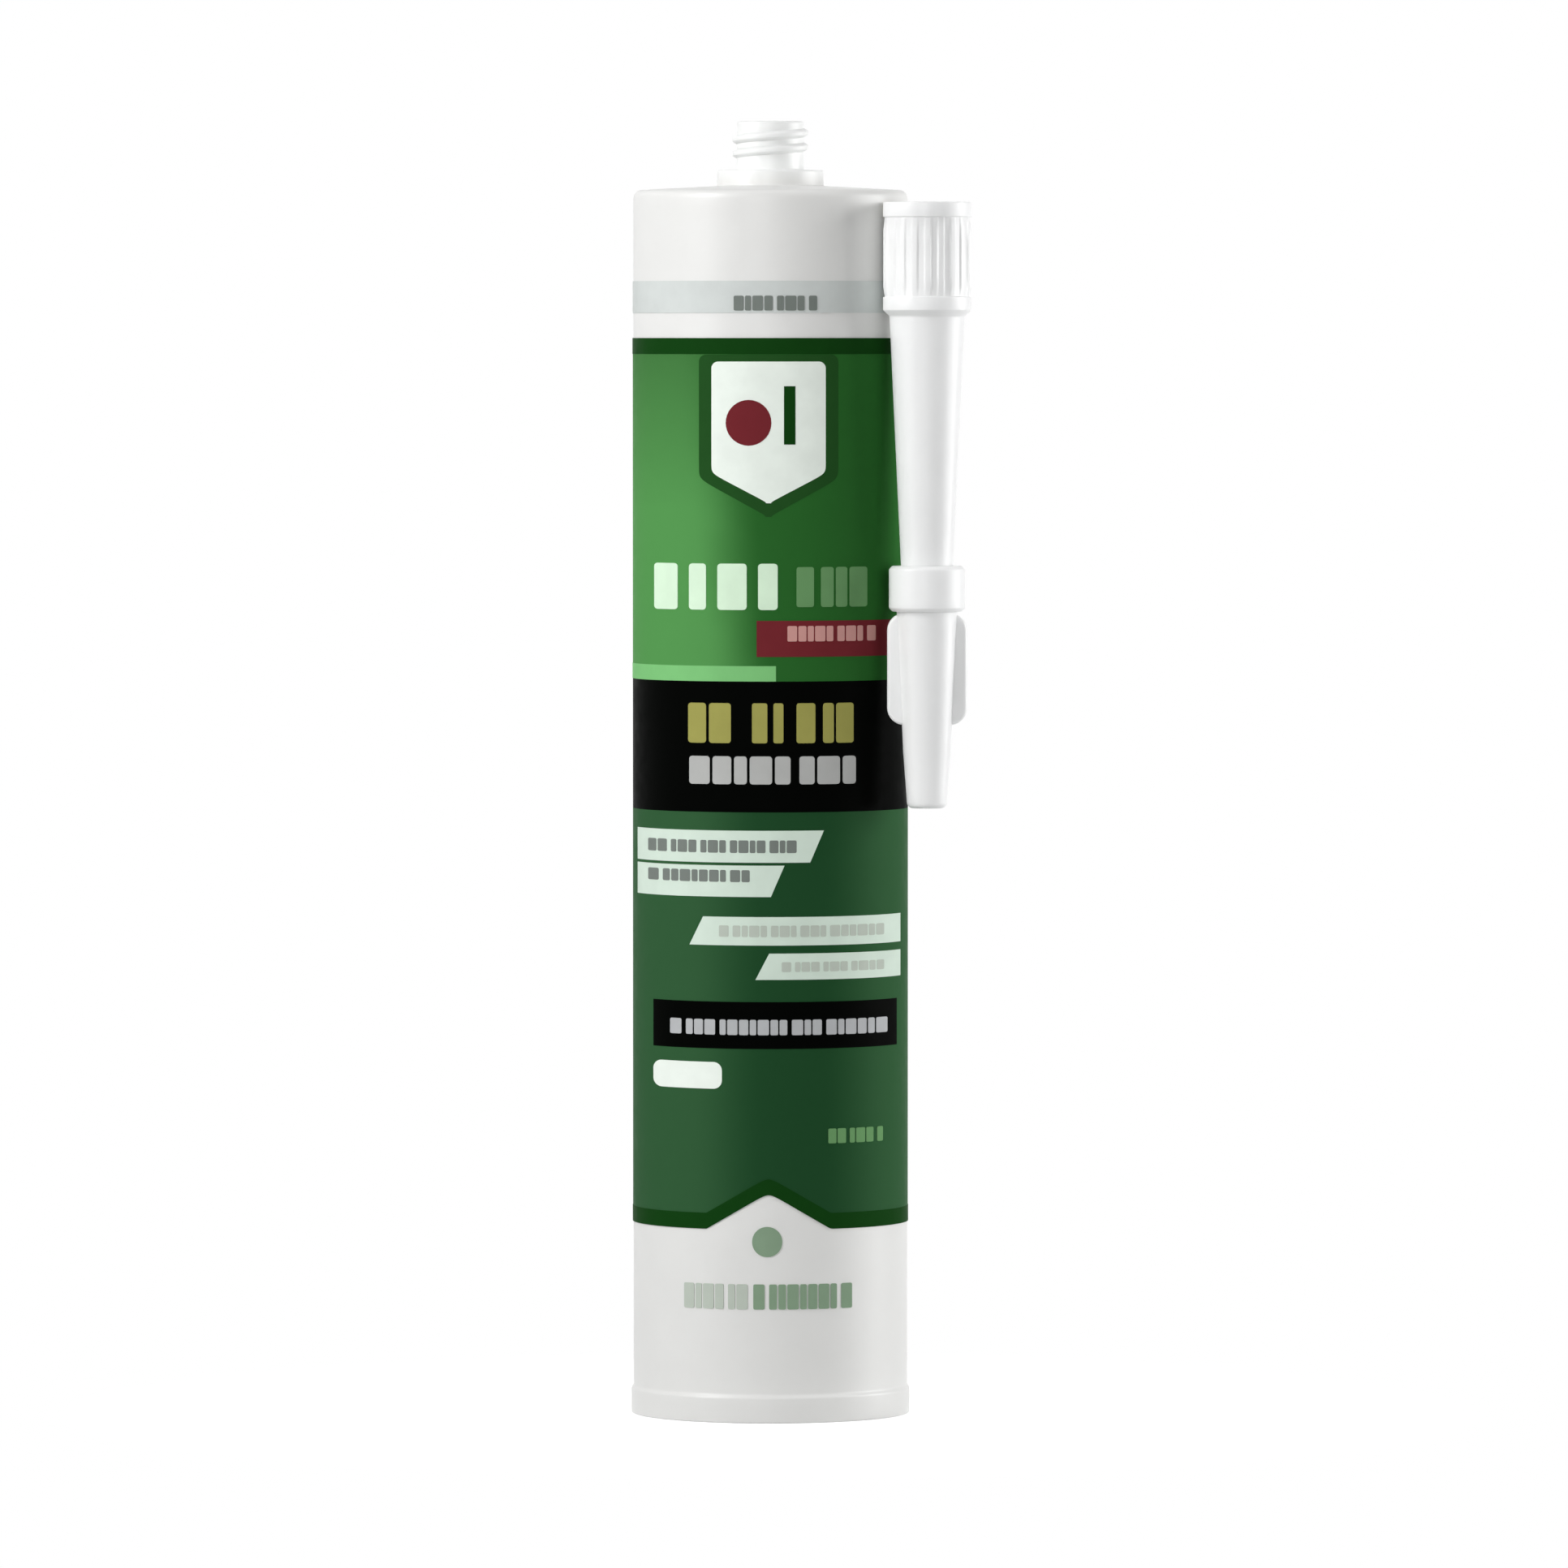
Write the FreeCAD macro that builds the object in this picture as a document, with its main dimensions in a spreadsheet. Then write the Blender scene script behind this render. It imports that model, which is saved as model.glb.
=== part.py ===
import FreeCAD, Part
import os
import re
import sys
import Sketcher

# A 310 ml sealant cartridge standing on its open rear end. +Z is up, the front is towards -Y, and the
# origin is the centre of the rear opening. All sizes are in millimetres and degrees.

SIZES = [
    # Barrel and head of the cartridge
    ("barrel_radius", 24.2),
    ("barrel_wall", 1.2),
    ("body_length", 216.0),
    ("rim_height", 5.0),
    ("rim_step", 0.4),
    ("rim_lead", 0.6),
    ("head_wall", 1.8),
    ("head_rise", 0.8),
    ("head_round", 1.6),
    ("collar_radius", 9.4),
    ("collar_height", 2.8),
    ("collar_round", 0.5),
    # Neck and its thread
    ("neck_radius", 5.9),
    ("neck_length", 8.6),
    ("neck_bore_radius", 4.2),
    ("neck_edge", 0.4),
    ("membrane", 1.0),
    ("thread_pitch", 2.5),
    ("thread_depth", 0.8),
    ("thread_root", 1.6),
    ("thread_crest", 0.7),
    ("thread_margin", 0.8),
    ("thread_clearance", 0.15),
    # Piston
    ("piston_clearance", 0.08),
    ("piston_waist", 0.4),
    ("piston_rear", 6.0),
    ("piston_length", 20.0),
    ("piston_lip", 3.0),
    ("piston_front_wall", 2.0),
    ("piston_skirt_wall", 1.2),
    ("piston_edge", 0.8),
    ("piston_boss_radius", 4.0),
    ("piston_boss_depth", 6.0),
    ("piston_rib_depth", 4.5),
    ("piston_rib_width", 1.2),
    ("piston_rib_count", 8),
    ("sealant_gap", 0.3),
    # Print on the barrel
    ("print_thickness", 0.2),
    ("print_seam", 7.0),
    ("grey_drop", 16.0),
    ("grey_height", 5.6),
    ("bare_gap", 4.4),
    ("upper_height", 60.0),
    ("black_height", 22.9),
    ("green_bottom", 34.0),
    ("peak_width", 21.8),
    ("peak_height", 6.6),
    ("peak_round", 1.5),
    ("print_middle", -0.3),
    ("badge_drop", 4.1),
    ("badge_width", 20.0),
    ("badge_height", 24.9),
    ("badge_point", 5.4),
    ("badge_round", 1.2),
    ("spot_radius", 4.0),
    ("spot_shift", -3.5),
    ("spot_drop", 10.7),
    ("ribbon_rise", 4.3),
    ("ribbon_height", 6.3),
    ("ribbon_left", -2.4),
    ("strip_slant", 2.4),
    ("upper_strips_gap", 0.5),
    ("lower_strips_gap", 1.4),
    ("upper_strips_drop", 3.2),
    ("upper_long_height", 5.6),
    ("upper_long_end", 7.0),
    ("upper_short_height", 5.5),
    ("upper_short_end", 0.1),
    ("lower_strips_drop", 18.3),
    ("lower_long_height", 5.0),
    ("lower_long_inset", 10.0),
    ("lower_short_height", 4.6),
    ("lower_short_start", -2.6),
    ("bar_drop", 33.2),
    ("bar_height", 8.2),
    ("bar_left_inset", 3.6),
    ("bar_right_inset", 1.9),
    ("box_gap", 2.4),
    ("box_height", 4.7),
    ("box_width", 12.1),
    ("box_round", 1.5),
    # Nozzle, upside down beside the barrel
    ("nozzle_turn", 58.0),
    ("nozzle_drop", 2.2),
    ("nozzle_length", 96.0),
    ("nozzle_base_length", 19.2),
    ("nozzle_base_wall", 0.9),
    ("nozzle_rib_depth", 0.3),
    ("nozzle_rib_width", 1.1),
    ("nozzle_rib_count", 20),
    ("nozzle_ring_height", 2.6),
    ("nozzle_socket_depth", 9.4),
    ("nozzle_throat_radius", 6.0),
    ("nozzle_throat_end", 17.5),
    ("nozzle_cone_radius", 6.6),
    ("nozzle_tip_radius", 3.1),
    ("nozzle_wall", 1.2),
    ("nozzle_step", 0.8),
    ("socket_thread_root", 1.3),
    ("socket_thread_crest", 0.5),
    ("socket_thread_start", 1.4),
    ("socket_thread_rise", 3.6),
    ("dot_gap", 0.25),
    ("dot_radius", 1.2),
    # Winged cap on the nozzle's tip
    ("cap_mouth", 63.7),
    ("cap_clearance", 0.1),
    ("cap_collar_length", 8.0),
    ("cap_collar_radius", 6.7),
    ("cap_edge", 0.6),
    ("cap_wall", 1.0),
    ("cap_tip_gap", 0.3),
    ("cap_stem_length", 10.2),
    ("cap_stem_radius", 3.5),
    ("wing_gap", 0.3),
    ("wing_length", 19.6),
    ("wing_span", 14.0),
    ("wing_thickness", 2.0),
    ("wing_round", 3.0),
]

# Lengths worked out from the sizes above, each written once
BARREL_BORE = "(barrel_radius - barrel_wall)"
RIM_RADIUS = "(barrel_radius + rim_step)"
RIM_BORE = f"({BARREL_BORE} + rim_step)"
HEAD_TOP = "(body_length + head_rise)"
COLLAR_TOP = f"({HEAD_TOP} + collar_height)"
NECK_TOP = f"({COLLAR_TOP} + neck_length)"
HEAD_UNDERSIDE = "(body_length - head_wall)"
NECK_UNDERSIDE = f"({HEAD_TOP} - head_wall)"
THREAD_RADIUS = "(neck_radius + thread_depth)"
PISTON_RADIUS = f"({BARREL_BORE} - piston_clearance)"
PISTON_FRONT = "(piston_rear + piston_length)"
PRINT_RADIUS = "(barrel_radius + print_thickness)"
SOCKET_RADIUS = f"({THREAD_RADIUS} + thread_clearance)"
NOZZLE_BASE_RADIUS = f"({SOCKET_RADIUS} + nozzle_base_wall)"
NOZZLE_REACH = f"({PRINT_RADIUS} + dot_gap + {NOZZLE_BASE_RADIUS})"
CONE_TAPER = "((nozzle_cone_radius - nozzle_tip_radius) / (nozzle_length - nozzle_base_length - nozzle_step))"
CAP_COLLAR_END = "(cap_mouth + cap_collar_length)"
CAP_SOCKET_END = "(nozzle_length + cap_tip_gap)"
CAP_END = "(nozzle_length + cap_stem_length)"
NOZZLE_MOUTH = "(body_length - nozzle_drop)"
GREY_TOP = "(body_length - grey_drop)"
GREY_BOTTOM = f"({GREY_TOP} - grey_height)"
UPPER_TOP = f"({GREY_BOTTOM} - bare_gap)"
BLACK_TOP = f"({UPPER_TOP} - upper_height)"
BLACK_BOTTOM = f"({BLACK_TOP} - black_height)"
BADGE_TOP = f"({UPPER_TOP} - badge_drop)"
BADGE_BOTTOM = f"({BADGE_TOP} - badge_height)"
BADGE_LEFT = "(print_middle - badge_width / 2)"
UPPER_LONG_BOTTOM = f"({BLACK_BOTTOM} - upper_strips_drop - upper_long_height)"
UPPER_SHORT_BOTTOM = f"({UPPER_LONG_BOTTOM} - upper_strips_gap - upper_short_height)"
LOWER_LONG_BOTTOM = f"({BLACK_BOTTOM} - lower_strips_drop - lower_long_height)"
LOWER_SHORT_BOTTOM = f"({LOWER_LONG_BOTTOM} - lower_strips_gap - lower_short_height)"
BAR_BOTTOM = f"({BLACK_BOTTOM} - bar_drop - bar_height)"
BAR_LEFT = "(bar_left_inset - barrel_radius)"
BOX_BOTTOM = f"({BAR_BOTTOM} - box_gap - box_height)"

FULL_TURN = 360
ALIAS_WORD = re.compile(r"\b[a-z][a-z0-9_]*\b")

doc = FreeCAD.newDocument("CaulkTube")
sheet = doc.addObject("Spreadsheet::Sheet", "Sizes")
for row, (alias, value) in enumerate(SIZES, start=1):
    sheet.set(f"A{row}", alias)
    sheet.set(f"B{row}", str(value))
    sheet.setAlias(f"B{row}", alias)
doc.recompute()


def sized(text):
    """The expression text with every size name read from the sheet."""
    return ALIAS_WORD.sub(r"Sizes.\g<0>", text)


def length(text):
    """The present value of an expression, for a first guess or a choice of edge."""
    return float(sheet.evalExpression(sized(text)))


def bind(obj, **properties):
    """Ties each named property of an object to an expression of the sizes."""
    for name, text in properties.items():
        obj.setExpression(name, sized(text))


def new_body(label):
    body = doc.addObject("PartDesign::Body", label)
    body.Label = label
    return body


def origin_plane(body, role):
    return next(plane for plane in body.Origin.OriginFeatures if plane.Role == role)


def new_sketch(body, name, role):
    sketch = body.newObject("Sketcher::SketchObject", name)
    sketch.AttachmentSupport = [(origin_plane(body, role), "")]
    sketch.MapMode = "FlatFace"
    return sketch


def outline(body, name, corners, role="XZ_Plane"):
    """A closed outline through corners, each given as two expressions of the sizes."""
    sketch = new_sketch(body, name, role)
    places = [FreeCAD.Vector(length(across), length(up), 0) for across, up in corners]
    count = len(corners)
    for index in range(count):
        sketch.addGeometry(Part.LineSegment(places[index], places[(index + 1) % count]), False)
    for index in range(count):
        sketch.addConstraint(Sketcher.Constraint("Coincident", index, 2, (index + 1) % count, 1))
    for index, corner in enumerate(corners):
        for kind, text, place in zip(("DistanceX", "DistanceY"), corner, places[index]):
            constraint = sketch.addConstraint(Sketcher.Constraint(kind, -1, 1, index, 1, place))
            sketch.setExpression(f"Constraints[{constraint}]", sized(text))
    return sketch


def circle(body, name, radius, across="0", up="0", role="XY_Plane"):
    sketch = new_sketch(body, name, role)
    centre = FreeCAD.Vector(length(across), length(up), 0)
    sketch.addGeometry(Part.Circle(centre, FreeCAD.Vector(0, 0, 1), length(radius)), False)
    constraints = (("Radius", radius, (0,)), ("DistanceX", across, (-1, 1, 0, 3)), ("DistanceY", up, (-1, 1, 0, 3)))
    for kind, text, members in constraints:
        constraint = sketch.addConstraint(Sketcher.Constraint(kind, *members, length(text)))
        sketch.setExpression(f"Constraints[{constraint}]", sized(text))
    return sketch


def turned(body, name, corners, feature="PartDesign::Revolution"):
    """A ring or a groove: an outline of (radius, height) corners turned about the body's Z axis."""
    sketch = outline(body, name + "Outline", corners)
    turn = body.newObject(feature, name)
    turn.Profile = sketch
    turn.ReferenceAxis = (sketch, ["V_Axis"])
    turn.Angle = FULL_TURN
    doc.recompute()
    return turn


def thread(body, name, corners, rise):
    """A ridge of the given section, wound up the body's Z axis at the thread's pitch."""
    sketch = outline(body, name + "Section", corners)
    helix = body.newObject("PartDesign::AdditiveHelix", name)
    helix.Profile = sketch
    helix.ReferenceAxis = (sketch, ["V_Axis"])
    helix.Mode = "pitch-height-angle"
    bind(helix, Pitch="thread_pitch", Height=rise)
    doc.recompute()
    return helix


def ring_edges(feature, radius, height):
    """The names of the round edges at a radius and a height."""
    names = []
    for index, edge in enumerate(feature.Shape.Edges, start=1):
        curve = edge.Curve
        if not isinstance(curve, Part.Circle):
            continue
        same_radius = abs(curve.Radius - length(radius)) < 0.001
        same_height = abs(curve.Center.z - length(height)) < 0.001
        if same_radius and same_height:
            names.append(f"Edge{index}")
    return names


def rounded(body, name, feature, edges, radius):
    fillet = body.newObject("PartDesign::Fillet", name)
    fillet.Base = (feature, edges)
    bind(fillet, Radius=radius)
    doc.recompute()
    return fillet


def edges_along_y(feature, across, up):
    """The names of the straight edges along Y that pass through a point of the XZ plane."""
    names = []
    for index, edge in enumerate(feature.Shape.Edges, start=1):
        first = edge.Vertexes[0].Point
        last = edge.Vertexes[-1].Point
        along_y = abs(first.x - last.x) < 0.001 and abs(first.z - last.z) < 0.001
        at_corner = abs(first.x - length(across)) < 0.001 and abs(first.z - length(up)) < 0.001
        if along_y and at_corner:
            names.append(f"Edge{index}")
    return names


def spokes(body, name, section, count, deep):
    """Equal upright ribs round the Z axis, the first one padded from a section on the XY plane."""
    rib = body.newObject("PartDesign::Pad", name)
    rib.Profile = section
    bind(rib, Length=deep)
    doc.recompute()
    pattern = body.newObject("PartDesign::PolarPattern", name + "Pattern")
    pattern.Originals = [rib]
    pattern.Axis = (section, ["N_Axis"])
    pattern.Angle = FULL_TURN
    bind(pattern, Occurrences=count)
    body.Tip = pattern
    doc.recompute()
    return pattern


def raised(sketch, height):
    """Lifts a sketch off its plane by an expression of the sizes."""
    sketch.setExpression("AttachmentOffset.Base.z", sized(height))
    doc.recompute()
    return sketch


def make_cartridge():
    """Barrel with a flared rear rim, domed head, collar and closed threaded neck, in one moulding."""
    body = new_body("cartridge")
    shell = turned(body, "Shell", [
        (BARREL_BORE, "rim_height"),
        (RIM_BORE, "rim_height - rim_lead"),
        (RIM_BORE, "0"),
        (RIM_RADIUS, "0"),
        (RIM_RADIUS, "rim_height - rim_lead"),
        ("barrel_radius", "rim_height"),
        ("barrel_radius", "body_length"),
        ("collar_radius", HEAD_TOP),
        ("collar_radius", COLLAR_TOP),
        ("neck_radius", COLLAR_TOP),
        ("neck_radius", f"{NECK_TOP} - neck_edge"),
        ("neck_radius - neck_edge", NECK_TOP),
        ("0", NECK_TOP),
        ("0", f"{NECK_TOP} - membrane"),
        ("neck_bore_radius", f"{NECK_TOP} - membrane"),
        ("neck_bore_radius", NECK_UNDERSIDE),
        (BARREL_BORE, HEAD_UNDERSIDE),
    ])
    shoulder = ring_edges(shell, "barrel_radius", "body_length")
    shell = rounded(body, "ShoulderRound", shell, shoulder, "head_round")
    collar = ring_edges(shell, "collar_radius", COLLAR_TOP)
    shell = rounded(body, "CollarRound", shell, collar, "collar_round")
    foot = f"({COLLAR_TOP} + thread_margin)"
    sunk = "(neck_radius - thread_depth / 2)"
    flank = "((thread_root - thread_crest) / 2)"
    thread(body, "NeckThread", [
        (sunk, foot),
        ("neck_radius", foot),
        (THREAD_RADIUS, f"{foot} + {flank}"),
        (THREAD_RADIUS, f"{foot} + thread_root - {flank}"),
        ("neck_radius", f"{foot} + thread_root"),
        (sunk, f"{foot} + thread_root"),
    ], "neck_length - 2 * thread_margin - thread_root")
    return body


def make_piston():
    """Cup open to the rear, with a sealing lip at each end, a boss and stiffening ribs behind its front."""
    body = new_body("piston")
    waist = f"({PISTON_RADIUS} - piston_waist)"
    inside = f"({waist} - piston_skirt_wall)"
    front_back = f"({PISTON_FRONT} - piston_front_wall)"
    turned(body, "Cup", [
        (inside, "piston_rear"),
        (f"{PISTON_RADIUS} - piston_waist / 2", "piston_rear"),
        (PISTON_RADIUS, "piston_rear + piston_waist"),
        (PISTON_RADIUS, "piston_rear + piston_lip"),
        (waist, "piston_rear + piston_lip + piston_waist"),
        (waist, f"{PISTON_FRONT} - piston_lip - piston_waist"),
        (PISTON_RADIUS, f"{PISTON_FRONT} - piston_lip"),
        (PISTON_RADIUS, f"{PISTON_FRONT} - piston_edge"),
        (f"{PISTON_RADIUS} - piston_edge", PISTON_FRONT),
        ("0", PISTON_FRONT),
        ("0", f"{front_back} - piston_boss_depth"),
        ("piston_boss_radius", f"{front_back} - piston_boss_depth"),
        ("piston_boss_radius", front_back),
        (inside, front_back),
    ])
    half = "(piston_rib_width / 2)"
    start = "(piston_boss_radius / 2)"
    end = f"({inside} + piston_skirt_wall / 2)"
    section = outline(body, "RibSection", [(start, f"-{half}"), (end, f"-{half}"), (end, half), (start, half)],
                      "XY_Plane")
    raised(section, f"{front_back} - piston_rib_depth")
    spokes(body, "Rib", section, "piston_rib_count", "piston_rib_depth + piston_front_wall / 2")
    return body


def make_sealant():
    """The filling: everything between the piston's front and the membrane."""
    body = new_body("sealant")
    start = f"({PISTON_FRONT} + sealant_gap)"
    turned(body, "Filling", [
        ("0", start),
        (BARREL_BORE, start),
        (BARREL_BORE, HEAD_UNDERSIDE),
        ("neck_bore_radius", NECK_UNDERSIDE),
        ("neck_bore_radius", f"{NECK_TOP} - membrane"),
        ("0", f"{NECK_TOP} - membrane"),
    ])
    return body


def hang_beside_barrel(body):
    """Stands a body that was drawn base down upside down on the nozzle's place beside the barrel."""
    body.Placement = FreeCAD.Placement(FreeCAD.Vector(), FreeCAD.Rotation(FreeCAD.Vector(1, 0, 0), 180))
    body.setExpression("Placement.Base.x", f"{sized(NOZZLE_REACH)} * sin(Sizes.nozzle_turn * 1 deg)")
    body.setExpression("Placement.Base.y", f"-{sized(NOZZLE_REACH)} * cos(Sizes.nozzle_turn * 1 deg)")
    body.setExpression("Placement.Base.z", sized(NOZZLE_MOUTH))
    doc.recompute()
    return body


def make_nozzle():
    """Ribbed base with an inner thread and a long hollow cone, drawn from its mouth at Z 0 to its tip."""
    body = new_body("nozzle")
    rib_root = f"({NOZZLE_BASE_RADIUS} - nozzle_rib_depth)"
    step_end = "(nozzle_base_length + nozzle_step)"
    turned(body, "Cone", [
        (SOCKET_RADIUS, "0"),
        (NOZZLE_BASE_RADIUS, "0"),
        (NOZZLE_BASE_RADIUS, "nozzle_ring_height"),
        (rib_root, "nozzle_ring_height"),
        (rib_root, "nozzle_base_length - nozzle_ring_height"),
        (NOZZLE_BASE_RADIUS, "nozzle_base_length - nozzle_ring_height"),
        (NOZZLE_BASE_RADIUS, "nozzle_base_length - nozzle_rib_depth"),
        (rib_root, "nozzle_base_length"),
        ("nozzle_cone_radius", step_end),
        ("nozzle_tip_radius", "nozzle_length"),
        ("nozzle_tip_radius - nozzle_wall", "nozzle_length"),
        ("nozzle_cone_radius - nozzle_wall", f"{step_end} + nozzle_step"),
        ("nozzle_throat_radius", "nozzle_throat_end"),
        ("nozzle_throat_radius", "nozzle_socket_depth + nozzle_step"),
        (SOCKET_RADIUS, "nozzle_socket_depth"),
    ])
    half = "(nozzle_rib_width / 2)"
    inside = f"({rib_root} - nozzle_base_wall / 3)"
    crest = f"({NOZZLE_BASE_RADIUS} - nozzle_rib_depth / 6)"
    section = outline(body, "GripSection", [
        (inside, f"-{half}"),
        (rib_root, f"-{half}"),
        (crest, f"-{half} / 2"),
        (crest, f"{half} / 2"),
        (rib_root, half),
        (inside, half),
    ], "XY_Plane")
    raised(section, "nozzle_ring_height / 2")
    spokes(body, "Grip", section, "nozzle_rib_count", "nozzle_base_length - 1.5 * nozzle_ring_height")
    flank = "((socket_thread_root - socket_thread_crest) / 2)"
    ridge = "(neck_radius + thread_clearance)"
    sunk = f"({SOCKET_RADIUS} + nozzle_base_wall / 3)"
    thread(body, "SocketThread", [
        (sunk, "socket_thread_start"),
        (SOCKET_RADIUS, "socket_thread_start"),
        (ridge, f"socket_thread_start + {flank}"),
        (ridge, f"socket_thread_start + socket_thread_root - {flank}"),
        (SOCKET_RADIUS, "socket_thread_start + socket_thread_root"),
        (sunk, "socket_thread_start + socket_thread_root"),
    ], "socket_thread_rise")
    return hang_beside_barrel(body)


def cone_radius_at(height):
    """The nozzle's outer radius at a distance from its mouth, as an expression."""
    return f"(nozzle_tip_radius + (nozzle_length - ({height})) * {CONE_TAPER})"


def make_nozzle_cap():
    """Push-on cap: a collar, a sleeve with two finger wings and a closed stem, drawn on the nozzle's axis."""
    body = new_body("nozzle_cap")
    half = "(wing_span / 2)"
    wing_start = f"({CAP_COLLAR_END} + wing_gap)"
    wing_end = f"({wing_start} + wing_length)"
    plate = outline(body, "WingOutline", [
        (f"-{half}", wing_start),
        (half, wing_start),
        (half, wing_end),
        (f"-{half}", wing_end),
    ])
    wings = body.newObject("PartDesign::Pad", "Wings")
    wings.Profile = plate
    wings.SideType = "Symmetric"
    bind(wings, Length="wing_thickness")
    doc.recompute()
    corners = [name for side in (f"-{half}", half) for end in (wing_start, wing_end)
               for name in edges_along_y(wings, side, end)]
    rounded(body, "WingRound", wings, corners, "wing_round")
    sleeve_start = f"({cone_radius_at(CAP_COLLAR_END)} + cap_clearance + cap_wall)"
    sleeve_end = "(nozzle_tip_radius + cap_clearance + cap_wall)"
    turned(body, "Outside", [
        ("0", "cap_mouth"),
        ("cap_collar_radius - cap_edge", "cap_mouth"),
        ("cap_collar_radius", "cap_mouth + cap_edge"),
        ("cap_collar_radius", f"{CAP_COLLAR_END} - cap_edge"),
        ("cap_collar_radius - cap_edge", CAP_COLLAR_END),
        (sleeve_start, CAP_COLLAR_END),
        (sleeve_end, "nozzle_length"),
        ("cap_stem_radius", f"{CAP_END} - cap_edge"),
        ("cap_stem_radius - cap_edge", CAP_END),
        ("0", CAP_END),
    ])
    turned(body, "Socket", [
        ("0", "cap_mouth"),
        (f"{cone_radius_at('cap_mouth')} + cap_clearance", "cap_mouth"),
        (f"{cone_radius_at(CAP_SOCKET_END)} + cap_clearance", CAP_SOCKET_END),
        ("0", CAP_SOCKET_END),
    ], "PartDesign::Groove")
    return hang_beside_barrel(body)


def cylinder(name, radius, height, base="0", angle=None):
    """An upright round solid about the barrel's axis, or a sector of one centred on the front."""
    solid = doc.addObject("Part::Cylinder", name)
    bind(solid, Radius=radius, Height=height)
    solid.setExpression("Placement.Base.z", sized(base))
    if angle:
        solid.setExpression("Angle", sized(angle))
        turn = f"(-90 - ({angle}) / 2) * 1 deg"
        solid.setExpression("Placement.Rotation.Angle", sized(turn).replace("Sizes.deg", "deg"))
    return solid


def cut(name, base, tool):
    solid = doc.addObject("Part::Cut", name)
    solid.Base = base
    solid.Tool = tool
    return solid


def print_shell(name, bottom, top):
    """A thin skin round the barrel, with an unprinted seam at the back."""
    seam_angle = f"({FULL_TURN} - print_seam)"
    outer = cylinder(name + "_outer", PRINT_RADIUS, f"{top} - {bottom}", bottom, seam_angle)
    inner = cylinder(name + "_inner", "barrel_radius", f"{top} - {bottom}", bottom)
    return cut(name, outer, inner)


def front_stamp(name, corners):
    """A straight-sided block that reaches forwards from the barrel's axis through its front."""
    body = new_body(name)
    sketch = outline(body, name + "_outline", corners)
    pad = body.newObject("PartDesign::Pad", name + "_pad")
    pad.Profile = sketch
    bind(pad, Length="barrel_radius + 2 * print_thickness")
    doc.recompute()
    return body, pad


def printed(name, stamp, skin):
    """The piece of a print skin that lies under a stamp."""
    patch = doc.addObject("Part::Common", name)
    patch.Base = skin
    patch.Tool = stamp
    patch.Label = name
    return patch


def level_stamp(name, left, right, bottom, high, left_slant="0", right_slant="0"):
    """A stamp between two heights, whose ends may lean to the right as they go up."""
    return front_stamp(name, [
        (left, bottom),
        (right, bottom),
        (f"{right} + {right_slant}", f"{bottom} + {high}"),
        (f"{left} + {left_slant}", f"{bottom} + {high}"),
    ])[0]


def make_badge_stamp():
    """A shield with a flat top, upright sides and a blunt point at its foot."""
    right = f"({BADGE_LEFT} + badge_width)"
    side_foot = f"({BADGE_BOTTOM} + badge_point)"
    corners = [
        (BADGE_LEFT, BADGE_TOP),
        (BADGE_LEFT, side_foot),
        ("print_middle", BADGE_BOTTOM),
        (right, side_foot),
        (right, BADGE_TOP),
    ]
    body, pad = front_stamp("badge_stamp", corners)
    edges = [name for across, up in corners for name in edges_along_y(pad, across, up)]
    rounded(body, "badge_corners", pad, edges, "badge_round")
    return body


def make_spot_stamp():
    body = new_body("spot_stamp")
    sketch = circle(body, "spot_outline", "spot_radius", "(print_middle + spot_shift)",
                    f"({BADGE_TOP} - spot_drop)", "XZ_Plane")
    pad = body.newObject("PartDesign::Pad", "spot_pad")
    pad.Profile = sketch
    bind(pad, Length="barrel_radius + 2 * print_thickness")
    doc.recompute()
    return body


def make_box_stamp():
    """A small panel with round corners at the left, under the black bar."""
    right = f"({BAR_LEFT} + box_width)"
    top = f"({BOX_BOTTOM} + box_height)"
    body, pad = front_stamp("box_stamp", [
        (BAR_LEFT, BOX_BOTTOM), (right, BOX_BOTTOM), (right, top), (BAR_LEFT, top),
    ])
    corners = [name for side in (BAR_LEFT, right) for end in (BOX_BOTTOM, top)
               for name in edges_along_y(pad, side, end)]
    rounded(body, "box_corners", pad, corners, "box_round")
    return body


def make_peak_stamp():
    """The bare peak that rises into the lower green field from its bottom edge."""
    foot = "(green_bottom - print_thickness)"
    top = "(green_bottom + peak_height)"
    body, pad = front_stamp("peak_stamp", [
        ("(print_middle - peak_width / 2)", foot),
        ("(print_middle + peak_width / 2)", foot),
        ("print_middle", top),
    ])
    rounded(body, "peak_tip", pad, edges_along_y(pad, "print_middle", top), "peak_round")
    return body


def joined(name, solids):
    group = doc.addObject("Part::MultiFuse", name)
    group.Shapes = solids
    return group


def field_with_patches(label, skin, stamps, windows=()):
    """A colour field with its patches let into it, flush, and its bare windows left open."""
    patches = [printed(name, stamp, skin) for name, stamp in stamps]
    tools = patches + list(windows)
    field = cut(label, skin, joined(label + "_windows", tools))
    field.Label = label
    return [field] + patches


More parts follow.
